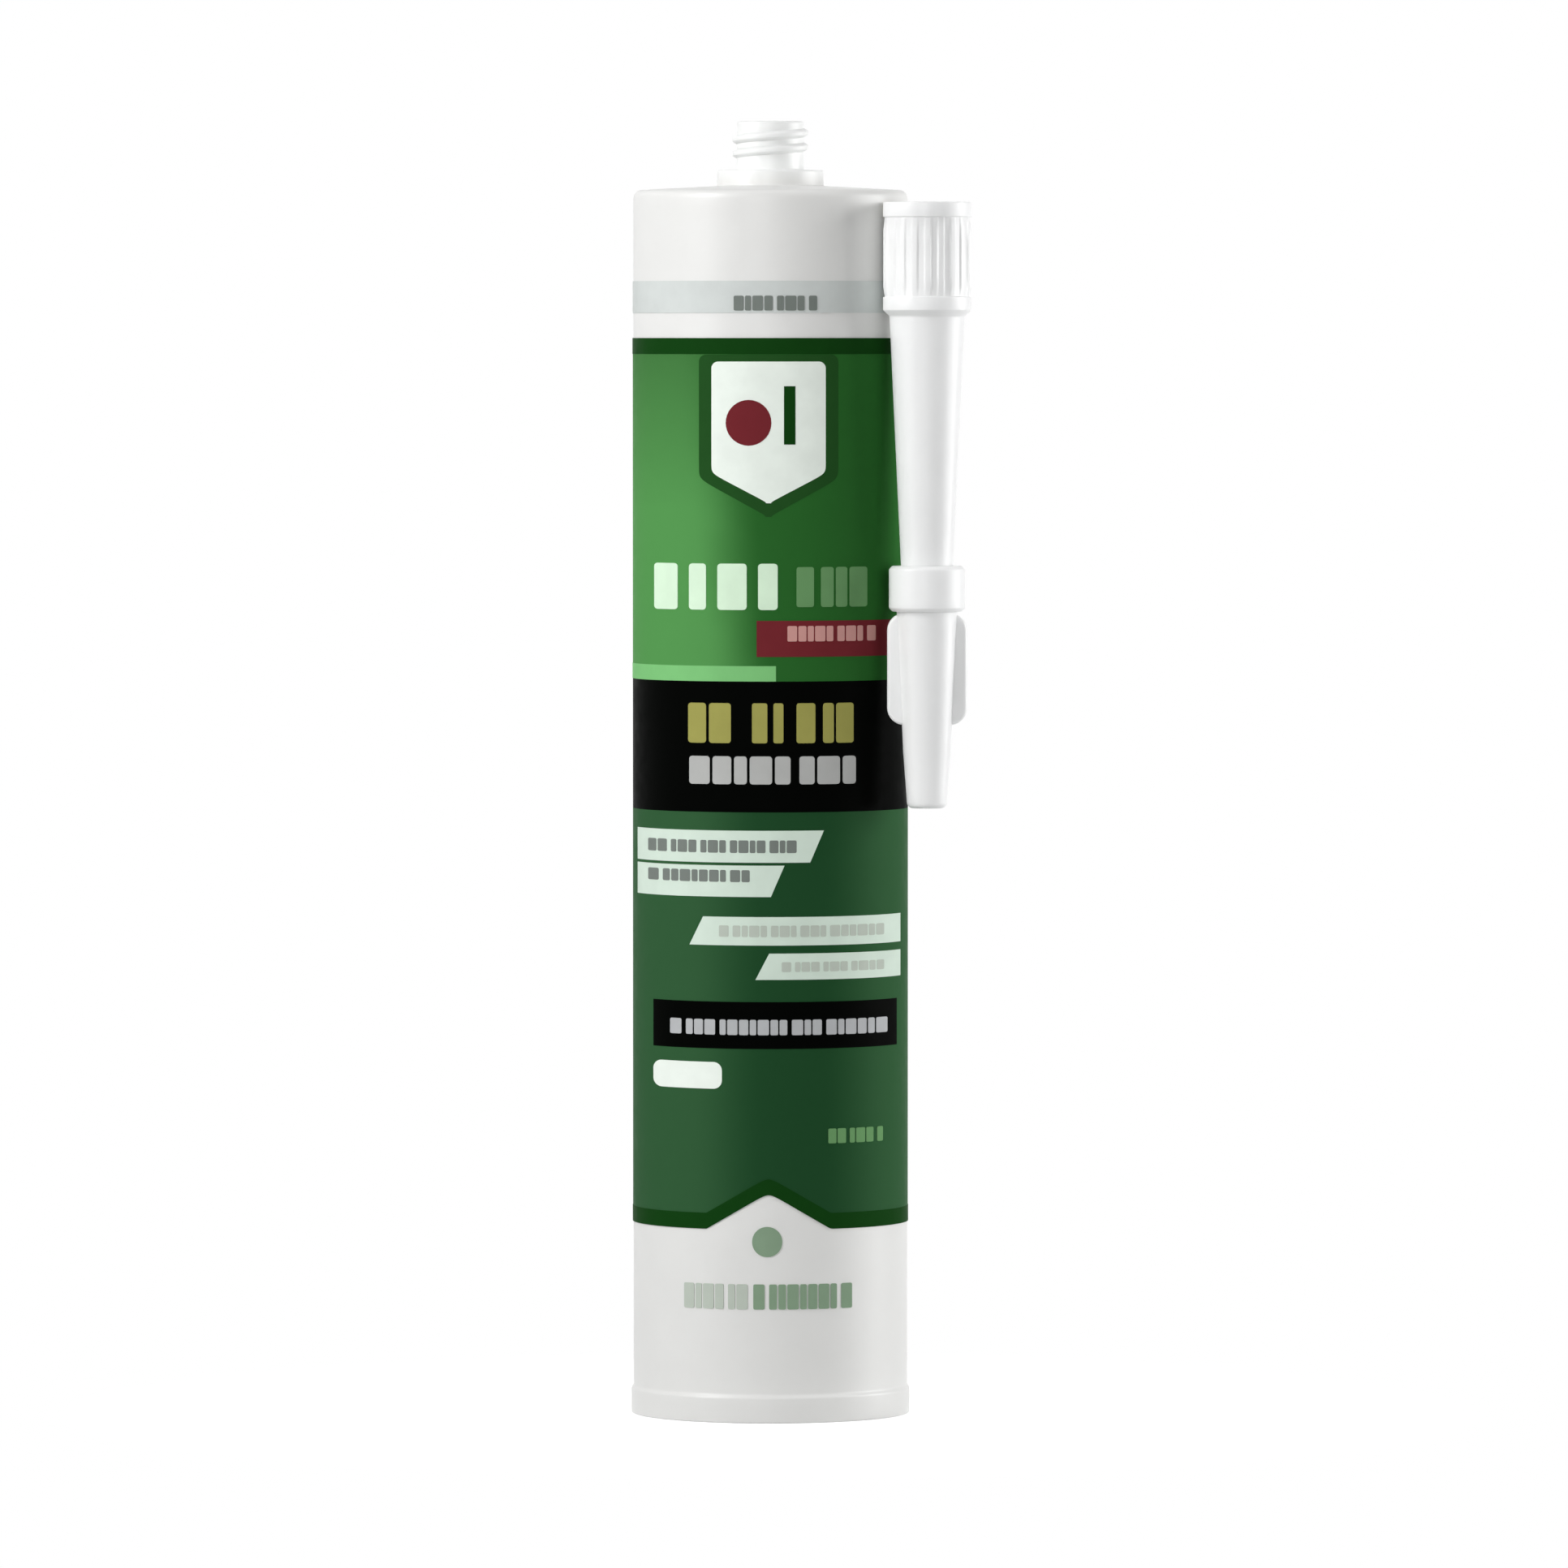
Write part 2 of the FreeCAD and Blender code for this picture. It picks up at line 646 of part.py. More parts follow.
def make_print():
    """Every colour field and patch of the print, all of one thickness on the barrel."""
    side = f"({PRINT_RADIUS} + print_thickness)"
    far_left = f"-{side}"
    upper_skin = print_shell("upper_skin", BLACK_TOP, UPPER_TOP)
    lower_skin = print_shell("lower_skin", "green_bottom", BLACK_BOTTOM)
    grey_band = print_shell("grey_band", GREY_BOTTOM, GREY_TOP)
    black_band = print_shell("black_band", BLACK_BOTTOM, BLACK_TOP)
    badge_stamp = make_badge_stamp()
    ribbon = level_stamp("ribbon_stamp", "ribbon_left", side, f"({BLACK_TOP} + ribbon_rise)", "ribbon_height")
    upper = field_with_patches("green_upper", upper_skin, [
        ("badge_plate", badge_stamp),
        ("red_ribbon", ribbon),
    ])
    badge_skin = upper[1]
    spot = printed("badge_spot", make_spot_stamp(), badge_skin)
    badge = cut("badge", badge_skin, spot)
    badge.Label = "badge"
    upper[1] = badge
    lower = field_with_patches("green_lower", lower_skin, [
        ("upper_strip_long", level_stamp("upper_long_stamp", far_left, "upper_long_end", UPPER_LONG_BOTTOM,
                                         "upper_long_height", right_slant="strip_slant")),
        ("upper_strip_short", level_stamp("upper_short_stamp", far_left, "upper_short_end",
                                          UPPER_SHORT_BOTTOM, "upper_short_height",
                                          right_slant="strip_slant")),
        ("lower_strip_long", level_stamp("lower_long_stamp", "(lower_long_inset - barrel_radius)", side,
                                         LOWER_LONG_BOTTOM, "lower_long_height",
                                         left_slant="strip_slant")),
        ("lower_strip_short", level_stamp("lower_short_stamp", "lower_short_start", side,
                                          LOWER_SHORT_BOTTOM, "lower_short_height",
                                          left_slant="strip_slant")),
        ("black_bar", level_stamp("bar_stamp", BAR_LEFT, "(barrel_radius - bar_right_inset)", BAR_BOTTOM,
                                  "bar_height")),
        ("code_box", make_box_stamp()),
    ], [make_peak_stamp()])
    return [grey_band, black_band, spot] + upper + lower


def glue_dot(name, distance, backing):
    """A flattened dot between the barrel's skin and one of the nozzle base's plain rings."""
    reach = sized(NOZZLE_REACH)
    dot = doc.addObject("Part::Cylinder", name + "_bead")
    bind(dot, Radius="dot_radius", Height=f"{NOZZLE_REACH} - barrel_radius + print_thickness")
    turn = "(Sizes.nozzle_turn * 1 deg)"
    start = "(Sizes.barrel_radius - Sizes.print_thickness)"
    dot.Placement = FreeCAD.Placement(
        FreeCAD.Vector(), FreeCAD.Rotation(FreeCAD.Vector(0, 0, 1), length("nozzle_turn")).multiply(
            FreeCAD.Rotation(FreeCAD.Vector(1, 0, 0), 90)))
    dot.setExpression("Placement.Rotation.Yaw", "Sizes.nozzle_turn * 1 deg")
    dot.setExpression("Placement.Base.x", f"{start} * sin{turn}")
    dot.setExpression("Placement.Base.y", f"-{start} * cos{turn}")
    dot.setExpression("Placement.Base.z", sized(f"{NOZZLE_MOUTH} - {distance}"))
    nozzle_side = doc.addObject("Part::Cylinder", name + "_ring")
    bind(nozzle_side, Radius=NOZZLE_BASE_RADIUS, Height="nozzle_base_length")
    nozzle_side.setExpression("Placement.Base.x", f"{reach} * sin{turn}")
    nozzle_side.setExpression("Placement.Base.y", f"-{reach} * cos{turn}")
    nozzle_side.setExpression("Placement.Base.z", sized(f"{NOZZLE_MOUTH} - nozzle_base_length"))
    barrel_side = cylinder(name + "_backing", backing, HEAD_TOP)
    return cut(name, dot, joined(name + "_sides", [nozzle_side, barrel_side]))


def make_hot_melt_dots():
    """Two dots of glue behind the nozzle's base."""
    dots = doc.addObject("Part::Compound", "hot_melt_dots")
    dots.Links = [
        glue_dot("mouth_dot", "(nozzle_ring_height / 2)", "barrel_radius"),
        glue_dot("foot_dot", "(nozzle_base_length - nozzle_ring_height / 2)", PRINT_RADIUS),
    ]
    dots.Label = "hot_melt_dots"
    return dots


def check_document(nodes):
    """Stops if any object failed, or any sub-part has no valid shape."""
    for obj in doc.Objects:
        if "Invalid" in obj.State or "Error" in obj.State:
            sys.exit(f"{obj.Name} failed: {obj.State}")
    for node in nodes:
        if node.Shape.isNull() or not node.Shape.isValid() or not node.Shape.Solids:
            sys.exit(f"{node.Label} has no valid solid")


nodes = [make_cartridge(), make_piston(), make_sealant(), make_nozzle(), make_nozzle_cap()]
nodes += make_print()
nodes.append(make_hot_melt_dots())
doc.recompute()
check_document(nodes)
os.makedirs("parts", exist_ok=True)
for node in nodes:
    node.Shape.exportStep(f"parts/{node.Label}.step")
    box = node.Shape.BoundBox
    print(f"{node.Label}: {len(node.Shape.Solids)} solid, {node.Shape.Volume:.1f} mm3,"
          f" z {box.ZMin:.2f} to {box.ZMax:.2f}")
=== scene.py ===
import math

import bpy
import numpy as np
from bpy.props import FloatProperty, FloatVectorProperty, IntProperty, PointerProperty
from bpy.types import Operator, Panel, PropertyGroup
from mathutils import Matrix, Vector


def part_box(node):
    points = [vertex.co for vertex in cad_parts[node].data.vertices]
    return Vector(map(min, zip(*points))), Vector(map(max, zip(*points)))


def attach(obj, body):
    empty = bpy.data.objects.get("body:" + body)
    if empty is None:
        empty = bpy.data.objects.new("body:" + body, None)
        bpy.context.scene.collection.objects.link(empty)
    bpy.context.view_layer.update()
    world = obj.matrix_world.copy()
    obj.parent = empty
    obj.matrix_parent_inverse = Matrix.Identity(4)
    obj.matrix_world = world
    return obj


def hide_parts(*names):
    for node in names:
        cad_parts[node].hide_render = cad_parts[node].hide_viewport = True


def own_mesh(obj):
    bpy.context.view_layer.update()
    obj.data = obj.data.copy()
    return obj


bl_info = {
    "name": "Caulk tube",
    "version": (1, 0, 0),
    "blender": (4, 5, 0),
    "location": "View3D > Sidebar > Caulk tube",
    "description": "Builds the finished surfaces of a sealant cartridge, its nozzle and its cap",
    "category": "Add Mesh",
}

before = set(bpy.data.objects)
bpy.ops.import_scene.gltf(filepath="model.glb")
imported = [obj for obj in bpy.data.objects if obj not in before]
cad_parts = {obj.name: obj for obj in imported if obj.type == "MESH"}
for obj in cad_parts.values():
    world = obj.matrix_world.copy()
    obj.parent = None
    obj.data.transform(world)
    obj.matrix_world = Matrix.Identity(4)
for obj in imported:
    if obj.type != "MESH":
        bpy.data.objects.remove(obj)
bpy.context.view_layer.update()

MM = 0.001

NOZZLE_LOW, NOZZLE_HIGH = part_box("nozzle")
CAP_LOW, CAP_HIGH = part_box("nozzle_cap")
PISTON_LOW, PISTON_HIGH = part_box("piston")
SEALANT_LOW, SEALANT_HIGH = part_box("sealant")
NOZZLE_AXIS = ((NOZZLE_LOW.x + NOZZLE_HIGH.x) / 2, (NOZZLE_LOW.y + NOZZLE_HIGH.y) / 2)


# Colours

def linear(code):
    """An sRGB hex colour as linear RGBA: c/12.92 below 0.04045, else ((c + 0.055)/1.055)^2.4."""
    channels = np.array([int(code[i:i + 2], 16) for i in (1, 3, 5)]) / 255
    low = channels / 12.92
    high = ((channels + 0.055) / 1.055) ** 2.4
    return (*np.where(channels <= 0.04045, low, high).tolist(), 1.0)


def length(name, millimetres, description):
    return FloatProperty(name=name, description=description, default=millimetres * MM, unit="LENGTH",
                         precision=5)


def colour(name, code, description):
    return FloatVectorProperty(name=name, description=description, default=linear(code)[:3],
                               subtype="COLOR", size=3, min=0, max=1)


def amount(name, number, description):
    return IntProperty(name=name, description=description, default=number, min=3)


# Sizes and colours that a user may change

class TubeSizes(PropertyGroup):
    barrel_radius: length("Barrel radius", 24.2, "Outer radius of the bare barrel")
    barrel_wall: length("Barrel wall", 1.2, "Thickness of the barrel's wall")
    body_length: length("Body length", 216.0, "Rear rim to the shoulder's edge")
    rim_height: length("Rim height", 5.0, "Height of the flared rear rim")
    rim_step: length("Rim step", 0.4, "How far the rim stands out from the barrel")
    rim_lead: length("Rim lead", 0.6, "Height of the rim's slope")
    head_wall: length("Head wall", 1.8, "Thickness of the head")
    head_rise: length("Head rise", 0.8, "How far the head rises to the collar")
    head_round: length("Head round", 1.6, "Reach of the shoulder's rounding")
    collar_radius: length("Collar radius", 9.4, "Outer radius of the collar")
    collar_height: length("Collar height", 2.8, "Height of the collar over the head")
    neck_radius: length("Neck radius", 5.9, "Radius at the thread's root")
    neck_length: length("Neck length", 8.6, "Height of the neck over the collar")
    neck_bore: length("Neck bore", 4.2, "Inner radius of the neck")
    membrane: length("Membrane", 1.0, "Thickness of the moulded seal on the neck")
    gate_radius: length("Gate radius", 1.2, "Radius of the dimple where the mould was filled")
    gate_depth: length("Gate depth", 0.3, "Depth of that dimple")
    thread_depth: length("Thread depth", 0.8, "Height of the thread's ridge")
    thread_pitch: length("Thread pitch", 2.5, "Rise of the thread in one turn")
    thread_root: length("Thread root", 1.6, "Width of the ridge at its root")
    thread_crest: length("Thread crest", 0.7, "Width of the ridge at its crest")
    thread_margin: length("Thread margin", 0.8, "Plain neck at each end of the thread")


class PistonSizes(PropertyGroup):
    clearance: length("Clearance", 0.08, "Gap between the lips and the bore")
    waist_step: length("Waist step", 0.4, "How far the waist lies in from the lips")
    skirt: length("Skirt", 1.2, "Thickness of the cup's side at the waist")
    lip: length("Lip", 3.0, "Height of the lip at each end")
    edge: length("Edge", 0.8, "Slope on the front edge")
    front_wall: length("Front wall", 2.0, "Thickness of the front")
    boss_radius: length("Boss radius", 4.0, "Radius of the boss behind the front")
    boss_depth: length("Boss depth", 6.0, "How far the boss reaches back")
    rib_depth: length("Rib depth", 4.5, "How far the ribs reach back")
    rib_width: length("Rib width", 1.2, "Thickness of the ribs")
    rib_count: amount("Rib count", 8, "Number of ribs behind the front")


class PrintSizes(PropertyGroup):
    thickness: length("Thickness", 0.2, "Thickness of the print's skins")
    seam: FloatProperty(name="Seam", description="Unprinted angle at the back", default=math.radians(7),
                        subtype="ANGLE", unit="ROTATION")
    edge_line: length("Edge line", 2.8, "Height of the dark lines along the green fields")
    peak_half: length("Peak half", 10.9, "Half the width of the bare peak in the lower field")
    peak_height: length("Peak height", 6.6, "Height of the bare peak")
    peak_soft: length("Peak soft", 0.9, "Reach of the rounding at the peak's tip")
    badge_point: length("Badge point", 5.2, "Height of the badge's point")
    badge_round: length("Badge round", 1.2, "Rounding of the badge's upper corners")
    shade_point: length("Shade point", 6.6, "Height of the point of the shade round the badge")
    shade_side: length("Shade side", 2.2, "How far the shade stands out at the badge's sides")
    shade_foot: length("Shade foot", 2.4, "How far the shade stands out below the badge")
    shade_top: length("Shade top", 1.2, "How far the shade stands out above the badge")
    strip_slant: length("Strip slant", 2.4, "How far the slanted ends of the strips lean")
    panel_round: length("Panel round", 1.5, "Rounding of the small panel's corners")


class NozzleSizes(PropertyGroup):
    base_length: length("Base length", 19.2, "Length of the ribbed base")
    rib_depth: length("Rib depth", 0.3, "Height of the grip ribs")
    rib_count: amount("Rib count", 20, "Number of grip ribs")
    ring_height: length("Ring height", 2.6, "Height of the plain ring at each end of the base")
    socket_radius: length("Socket radius", 6.85, "Inner radius of the threaded socket")
    socket_depth: length("Socket depth", 9.4, "Depth of the threaded socket")
    throat_radius: length("Throat radius", 6.0, "Inner radius past the socket")
    throat_end: length("Throat end", 17.5, "Distance from the mouth to the throat's end")
    cone_radius: length("Cone radius", 6.6, "Outer radius of the cone at the base")
    tip_radius: length("Tip radius", 3.1, "Outer radius of the cone at the tip")
    wall: length("Wall", 1.2, "Thickness of the cone's wall")
    step: length("Step", 0.8, "Length of the step from base to cone")
    thread_root: length("Thread root", 1.3, "Width of the inner ridge at its root")
    thread_crest: length("Thread crest", 0.5, "Width of the inner ridge at its crest")
    thread_start: length("Thread start", 1.4, "Distance from the mouth to the inner thread")
    thread_rise: length("Thread rise", 3.6, "Rise of the inner thread")
    thread_depth: length("Thread depth", 0.8, "Height of the inner ridge")
    cap_collar_radius: length("Cap collar radius", 6.7, "Outer radius of the cap's collar")
    cap_collar_length: length("Cap collar length", 8.0, "Length of the cap's collar")
    cap_clearance: length("Cap clearance", 0.1, "Gap between the cap and the cone")
    cap_wall: length("Cap wall", 1.0, "Thickness of the cap's sleeve")
    cap_stem_radius: length("Cap stem radius", 3.5, "Radius of the cap's closed end")
    cap_edge: length("Cap edge", 0.6, "Slope on the cap's edges")
    cap_tip_gap: length("Cap tip gap", 0.3, "Room past the nozzle's tip")
    wing_gap: length("Wing gap", 0.3, "Gap between collar and wings")
    wing_length: length("Wing length", 19.6, "Length of the finger wings")
    wing_span: length("Wing span", 14.0, "Width over both wings")
    wing_thickness: length("Wing thickness", 2.0, "Thickness of the wings")
    wing_round: length("Wing round", 3.0, "Rounding of the wings' corners")


class TubeColours(PropertyGroup):
    barrel: colour("Barrel", "#E6E6E4", "White polyethylene of the barrel")
    # Painted light: the neck's paler colour stands in for light passing through its thin wall
    neck: colour("Neck", "#F3F4F3", "The same polyethylene in the neck, paler where light passes through")
    nozzle: colour("Nozzle", "#F6F7F7", "Milky polyethylene of the nozzle")
    piston: colour("Piston", "#E4E5E2", "Natural polyethylene of the piston")
    sealant: colour("Sealant", "#E2DFD6", "Sealant paste")
    glue: colour("Glue", "#E3D6AE", "Hot melt glue")
    grey: colour("Grey", "#D3D8D6", "Pale band near the head")
    # Partly painted light: this green holds the light falling on the field's left, along with the ink's own
    # colour
    bright_and_painted_lit_green: colour("Bright green", "#559651", "Upper field at its lower left")
    mid_green: colour("Mid green", "#2B652B", "Upper field at its right")
    deep_green: colour("Deep green", "#21492A", "Lower field")
    side_green: colour("Side green", "#335B39", "Lower field towards its sides")
    shade: colour("Shade", "#244F23", "Darker green round the badge")
    line_green: colour("Line green", "#143F14", "Dark lines along the fields' edges")
    pale_green: colour("Pale green", "#7FC47C", "Pale line over the black band")
    black: colour("Black", "#040504", "Black band and bar")
    badge: colour("Badge", "#F2FAF2", "Badge and small panel")
    strip: colour("Strip", "#D8E8DB", "Slanted strips")
    red: colour("Red", "#742A30", "Ribbon and badge spot")
    pink: colour("Pink", "#CF9A94", "Marks on the ribbon")
    gold: colour("Gold", "#A29F57", "Upper marks on the black band")
    silver: colour("Silver", "#B8B9B7", "Lower marks on the black band")
    dim_silver: colour("Dim silver", "#B9BBBD", "Marks on the black bar")
    title: colour("Title", "#DDF6DB", "Large marks on the upper field")
    soft_title: colour("Soft title", "#6C9A66", "Faint marks beside the large ones")
    grey_mark: colour("Grey mark", "#7B827D", "Marks on pale ground")
    soft_mark: colour("Soft mark", "#BFC8BD", "Marks on the lower strips")
    moss_mark: colour("Moss mark", "#89A288", "Marks near the foot")


def sizes():
    return bpy.context.scene.caulk_tube_sizes


def nozzle_sizes():
    return bpy.context.scene.caulk_nozzle_sizes


def piston_sizes():
    return bpy.context.scene.caulk_piston_sizes


def print_sizes():
    return bpy.context.scene.caulk_print_sizes


def colours():
    return bpy.context.scene.caulk_tube_colours


# Surfaces

SHARP_EDGE = math.radians(35)


def softened(corners, steps=7):
    """A profile through (r, z, reach) corners. Each corner P turns into the curve
    (1-s)^2 (P + reach u) + 2 s (1-s) P + s^2 (P + reach v), with u and v the unit vectors to its
    neighbours."""
    corners = np.array(corners, float)
    point, reach = corners[:, None, :2], corners[:, None, 2:]
    before = np.roll(corners[:, :2], 1, axis=0)[:, None] - point
    after = np.roll(corners[:, :2], -1, axis=0)[:, None] - point
    start = point + reach * before / np.linalg.norm(before, axis=2, keepdims=True)
    end = point + reach * after / np.linalg.norm(after, axis=2, keepdims=True)
    s = np.linspace(0, 1, steps)[None, :, None]
    path = ((1 - s) ** 2 * start + 2 * s * (1 - s) * point + s ** 2 * end).reshape(-1, 2)
    apart = np.linalg.norm(np.diff(path, axis=0), axis=1) > 1e-7
    return path[np.concatenate([[True], apart])]


def spaced(path, step):
    """The same path with points added so that none lie further apart than step."""
    run = np.concatenate([[0], np.cumsum(np.linalg.norm(np.diff(path, axis=0), axis=1))])
    regular = np.arange(step, run[-1], step)
    near = np.abs(regular[:, None] - run[None, :]).min(axis=1) < step / 5
    places = np.sort(np.concatenate([run, regular[~near]]))
    return np.column_stack([np.interp(places, run, path[:, axis]) for axis in range(path.shape[1])])


def grid_faces(rows, columns, ring):
    """Four-sided faces of a grid whose columns close on themselves, and whose rows do so if ring is set."""
    row, column = np.meshgrid(np.arange(rows if ring else rows - 1), np.arange(columns), indexing="ij")
    next_row, next_column = (row + 1) % rows, (column + 1) % columns
    corners = (row * columns + column, row * columns + next_column,
               next_row * columns + next_column, next_row * columns + column)
    return np.stack([corner.ravel() for corner in corners], axis=1)


def facing_out(points, faces):
    """The faces, turned round if the volume sum of v0.(v1 x v2)/6 over their triangles is negative."""
    first, second, third, fourth = (points[faces[:, index]] for index in range(4))
    volume = np.einsum("ij,ij->", first, np.cross(second, third))
    volume += np.einsum("ij,ij->", first, np.cross(third, fourth))
    return faces if volume > 0 else faces[:, ::-1]


def lofted(loops, ring=False, ends=None):
    """A closed skin through loops, an array (loop, point, xyz). It closes on itself as a ring, or its two
    ends are fans to the points in ends, which default to the middles of the first and last loops."""
    rows, columns = loops.shape[:2]
    points = loops.reshape(-1, 3)
    faces = grid_faces(rows, columns, ring)
    if not ring:
        middles = np.array([loops[0].mean(axis=0), loops[-1].mean(axis=0)] if ends is None else ends)
        points = np.vstack([points, middles])
        column = np.arange(columns)
        after = (column + 1) % columns
        first_hub = np.full(columns, rows * columns)
        last = (rows - 1) * columns
        fans = [np.stack([after, column, first_hub, first_hub], axis=1),
                np.stack([last + column, last + after, first_hub + 1, first_hub + 1], axis=1)]
        faces = np.vstack([faces, *fans])
    return points, facing_out(points, faces)


def turned(path, segments, axis=(0, 0), ripple=None):
    """The path (r, z) turned about an upright axis: x = ax + r cos a, y = ay + r sin a. A path that starts
    and ends on the axis closes there, and any other closes on itself. ripple(a, r, z) is added to r."""
    poles = path[0, 0] < 1e-7 and path[-1, 0] < 1e-7
    body = path[1:-1] if poles else path
    angle = np.linspace(0, 2 * np.pi, segments, endpoint=False)[None, :]
    radius, height = body[:, :1], body[:, 1:]
    if ripple is not None:
        radius = radius + ripple(angle, radius, height)
    loops = np.stack([axis[0] + radius * np.cos(angle), axis[1] + radius * np.sin(angle),
                      height + 0 * angle], axis=2)
    ends = [(*axis, path[0, 1]), (*axis, path[-1, 1])] if poles else None
    return lofted(loops, ring=not poles, ends=ends)


def wound(section, start, rise, pitch, root, axis=(0, 0), run_out=0.12, steps_per_turn=96):
    """A ridge wound right-handed up an axis: each section point (r, z) goes to the angle 2 pi t rise/pitch
    and the height start + z + rise t. Over the run-out, a part of a turn at both ends, its height over the
    root falls smoothly to 0.15 of itself."""
    turns = rise / pitch
    t = np.linspace(0, 1, int(steps_per_turn * turns))[:, None]
    fade = np.clip(np.minimum(t, 1 - t) * turns / run_out, 0, 1)
    fade = fade * fade * (3 - 2 * fade)
    radius = root + (section[None, :, 0] - root) * (0.15 + 0.85 * fade)
    angle = 2 * np.pi * turns * t
    height = start + section[None, :, 1] + rise * t
    loops = np.stack([axis[0] + radius * np.cos(angle), axis[1] + radius * np.sin(angle), height], axis=2)
    return lofted(loops)


def skin(angle, height, outer, inner):
    """A thin closed shell on the barrel from grids of angle a and height z, where x = R sin a and
    y = -R cos a: the grid at the outer radius, the same grid at the inner one, and a rim between them."""
    rows, columns = angle.shape
    both_angles = np.hstack([angle, angle[:, ::-1]])
    both_heights = np.hstack([height, height[:, ::-1]])
    radius = np.repeat([outer, inner], columns)[None, :]
    loops = np.stack([radius * np.sin(both_angles), -radius * np.cos(both_angles), both_heights], axis=2)
    around = 2 * columns
    column = np.arange(columns - 1)
    last = (rows - 1) * around
    first_rim = np.stack([column + 1, column, around - 1 - column, around - 2 - column], axis=1)
    last_rim = last + first_rim[:, ::-1]
    points = loops.reshape(-1, 3)
    faces = np.vstack([grid_faces(rows, around, False), first_rim, last_rim])
    return points, facing_out(points, faces)


def merged(shells):
    """Several closed shells as one."""
    starts = np.cumsum([0] + [len(points) for points, _ in shells[:-1]])
    points = np.vstack([points for points, _ in shells])
    faces = np.vstack([faces + start for (_, faces), start in zip(shells, starts)])
    return points, faces


def finished(name, shell, material, replaced=None, body="tube"):
    """A piece made of a shell, smooth but for its sharp edges. It rides on a body, and may replace a CAD
    node."""
    points, faces = shell
    triangle = faces[:, 2] == faces[:, 3]
    mesh = bpy.data.meshes.new(name)
    mesh.from_pydata(points.tolist(), [], faces[~triangle].tolist() + faces[triangle, :3].tolist())
    mesh.update()
    mesh.shade_smooth()
    mesh.set_sharp_from_angle(angle=SHARP_EDGE)
    mesh.materials.append(material)
    piece = bpy.data.objects.new(name, mesh)
    bpy.context.scene.collection.objects.link(piece)
    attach(piece, body)
    if replaced:
        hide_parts(replaced)
    return piece


# Materials

def node(tree, kind, settings=None):
    """Adds a node. Each setting is a property or an input of it. Another node's output is linked to it."""
    made = tree.nodes.new(kind)
    for key, value in (settings or {}).items():
        if isinstance(value, bpy.types.NodeSocket):
            tree.links.new(value, made.inputs[key])
        elif isinstance(key, str) and hasattr(made, key):
            setattr(made, key, value)
        else:
            made.inputs[key].default_value = value
    return made


def mottled(tree, place, base, width, spread):
    """The base colour, lighter and darker by a spread in patches of the given width."""
    noise = node(tree, "ShaderNodeTexNoise", {"Scale": 1 / (width * MM), "Detail": 4.0, "Vector": place})
    shade = node(tree, "ShaderNodeMapRange", {
        "From Min": 0.3,
        "From Max": 0.7,
        "To Min": 1 - spread,
        "To Max": 1 + spread,
        "Value": noise.outputs["Fac"],
    })
    tint = node(tree, "ShaderNodeVectorMath", {
        "operation": "SCALE",
        0: base,
        "Scale": shade.outputs["Result"],
    })
    return tint.outputs["Vector"]


def peel(tree, place, width, depth, strength):
    """Bump of a moulded or printed skin: ripples of the given width and depth."""
    noise = node(tree, "ShaderNodeTexNoise", {"Scale": 1 / (width * MM), "Detail": 3.0, "Vector": place})
    bump = node(tree, "ShaderNodeBump", {
        "Distance": depth * MM,
        "Strength": strength,
        "Height": noise.outputs["Fac"],
    })
    return bump.outputs["Normal"]


def uneven_roughness(tree, place, width, middle):
    """A roughness that wanders a little round its middle, in patches of the given width."""
    noise = node(tree, "ShaderNodeTexNoise", {"Scale": 1 / (width * MM), "Detail": 5.0, "Vector": place})
    rough = node(tree, "ShaderNodeMapRange", {
        "From Min": 0.35,
        "From Max": 0.65,
        "To Min": middle - 0.04,
        "To Max": middle + 0.05,
        "Value": noise.outputs["Fac"],
    })
    return rough.outputs["Result"]


def new_material(name):
    """An empty material, its tree, and the place in the object's own space."""
    material = bpy.data.materials.new(name)
    material.use_nodes = True
    tree = material.node_tree
    tree.nodes.clear()
    return material, tree, node(tree, "ShaderNodeTexCoord").outputs["Object"]


def polyethylene(name, base, milkiness, roughness, ripple, pale=None, painted_pale_from=0.0):
    """Polyethylene, injection moulded: milky, so light spreads a millimetre or two under the skin, and
    satin, with the faint ripple that the mould's steel leaves. Above a height it may be painted paler, a
    painted glow that stands in for light passing through its thin wall."""
    material, tree, place = new_material(name)
    tint = mottled(tree, place, base, 9.0, 0.012)
    # Painted light: above the given height the colour turns paler, standing in for light through the thin
    # wall
    if pale is not None:
        height = node(tree, "ShaderNodeSeparateXYZ", {"Vector": place}).outputs["Z"]
        share = node(tree, "ShaderNodeMapRange", {
            "interpolation_type": "SMOOTHSTEP",
            "From Min": painted_pale_from,
            "From Max": painted_pale_from + 3 * MM,
            "Value": height,
        })
        tint = node(tree, "ShaderNodeMix", {
            "data_type": "RGBA",
            0: share.outputs["Result"],
            6: tint,
            7: (*pale, 1),
        }).outputs[2]
    surface = node(tree, "ShaderNodeBsdfPrincipled", {
        "Base Color": tint,
        "IOR": 1.51,
        "Roughness": uneven_roughness(tree, place, 3.0, roughness),
        "Subsurface Weight": milkiness,
        "Subsurface Radius": (1.0, 1.0, 1.0),
        "Subsurface Scale": 1.6 * MM,
        "Normal": peel(tree, place, ripple, 0.02, 0.35),
    })
    node(tree, "ShaderNodeOutputMaterial", {"Surface": surface.outputs["BSDF"]})
    return material


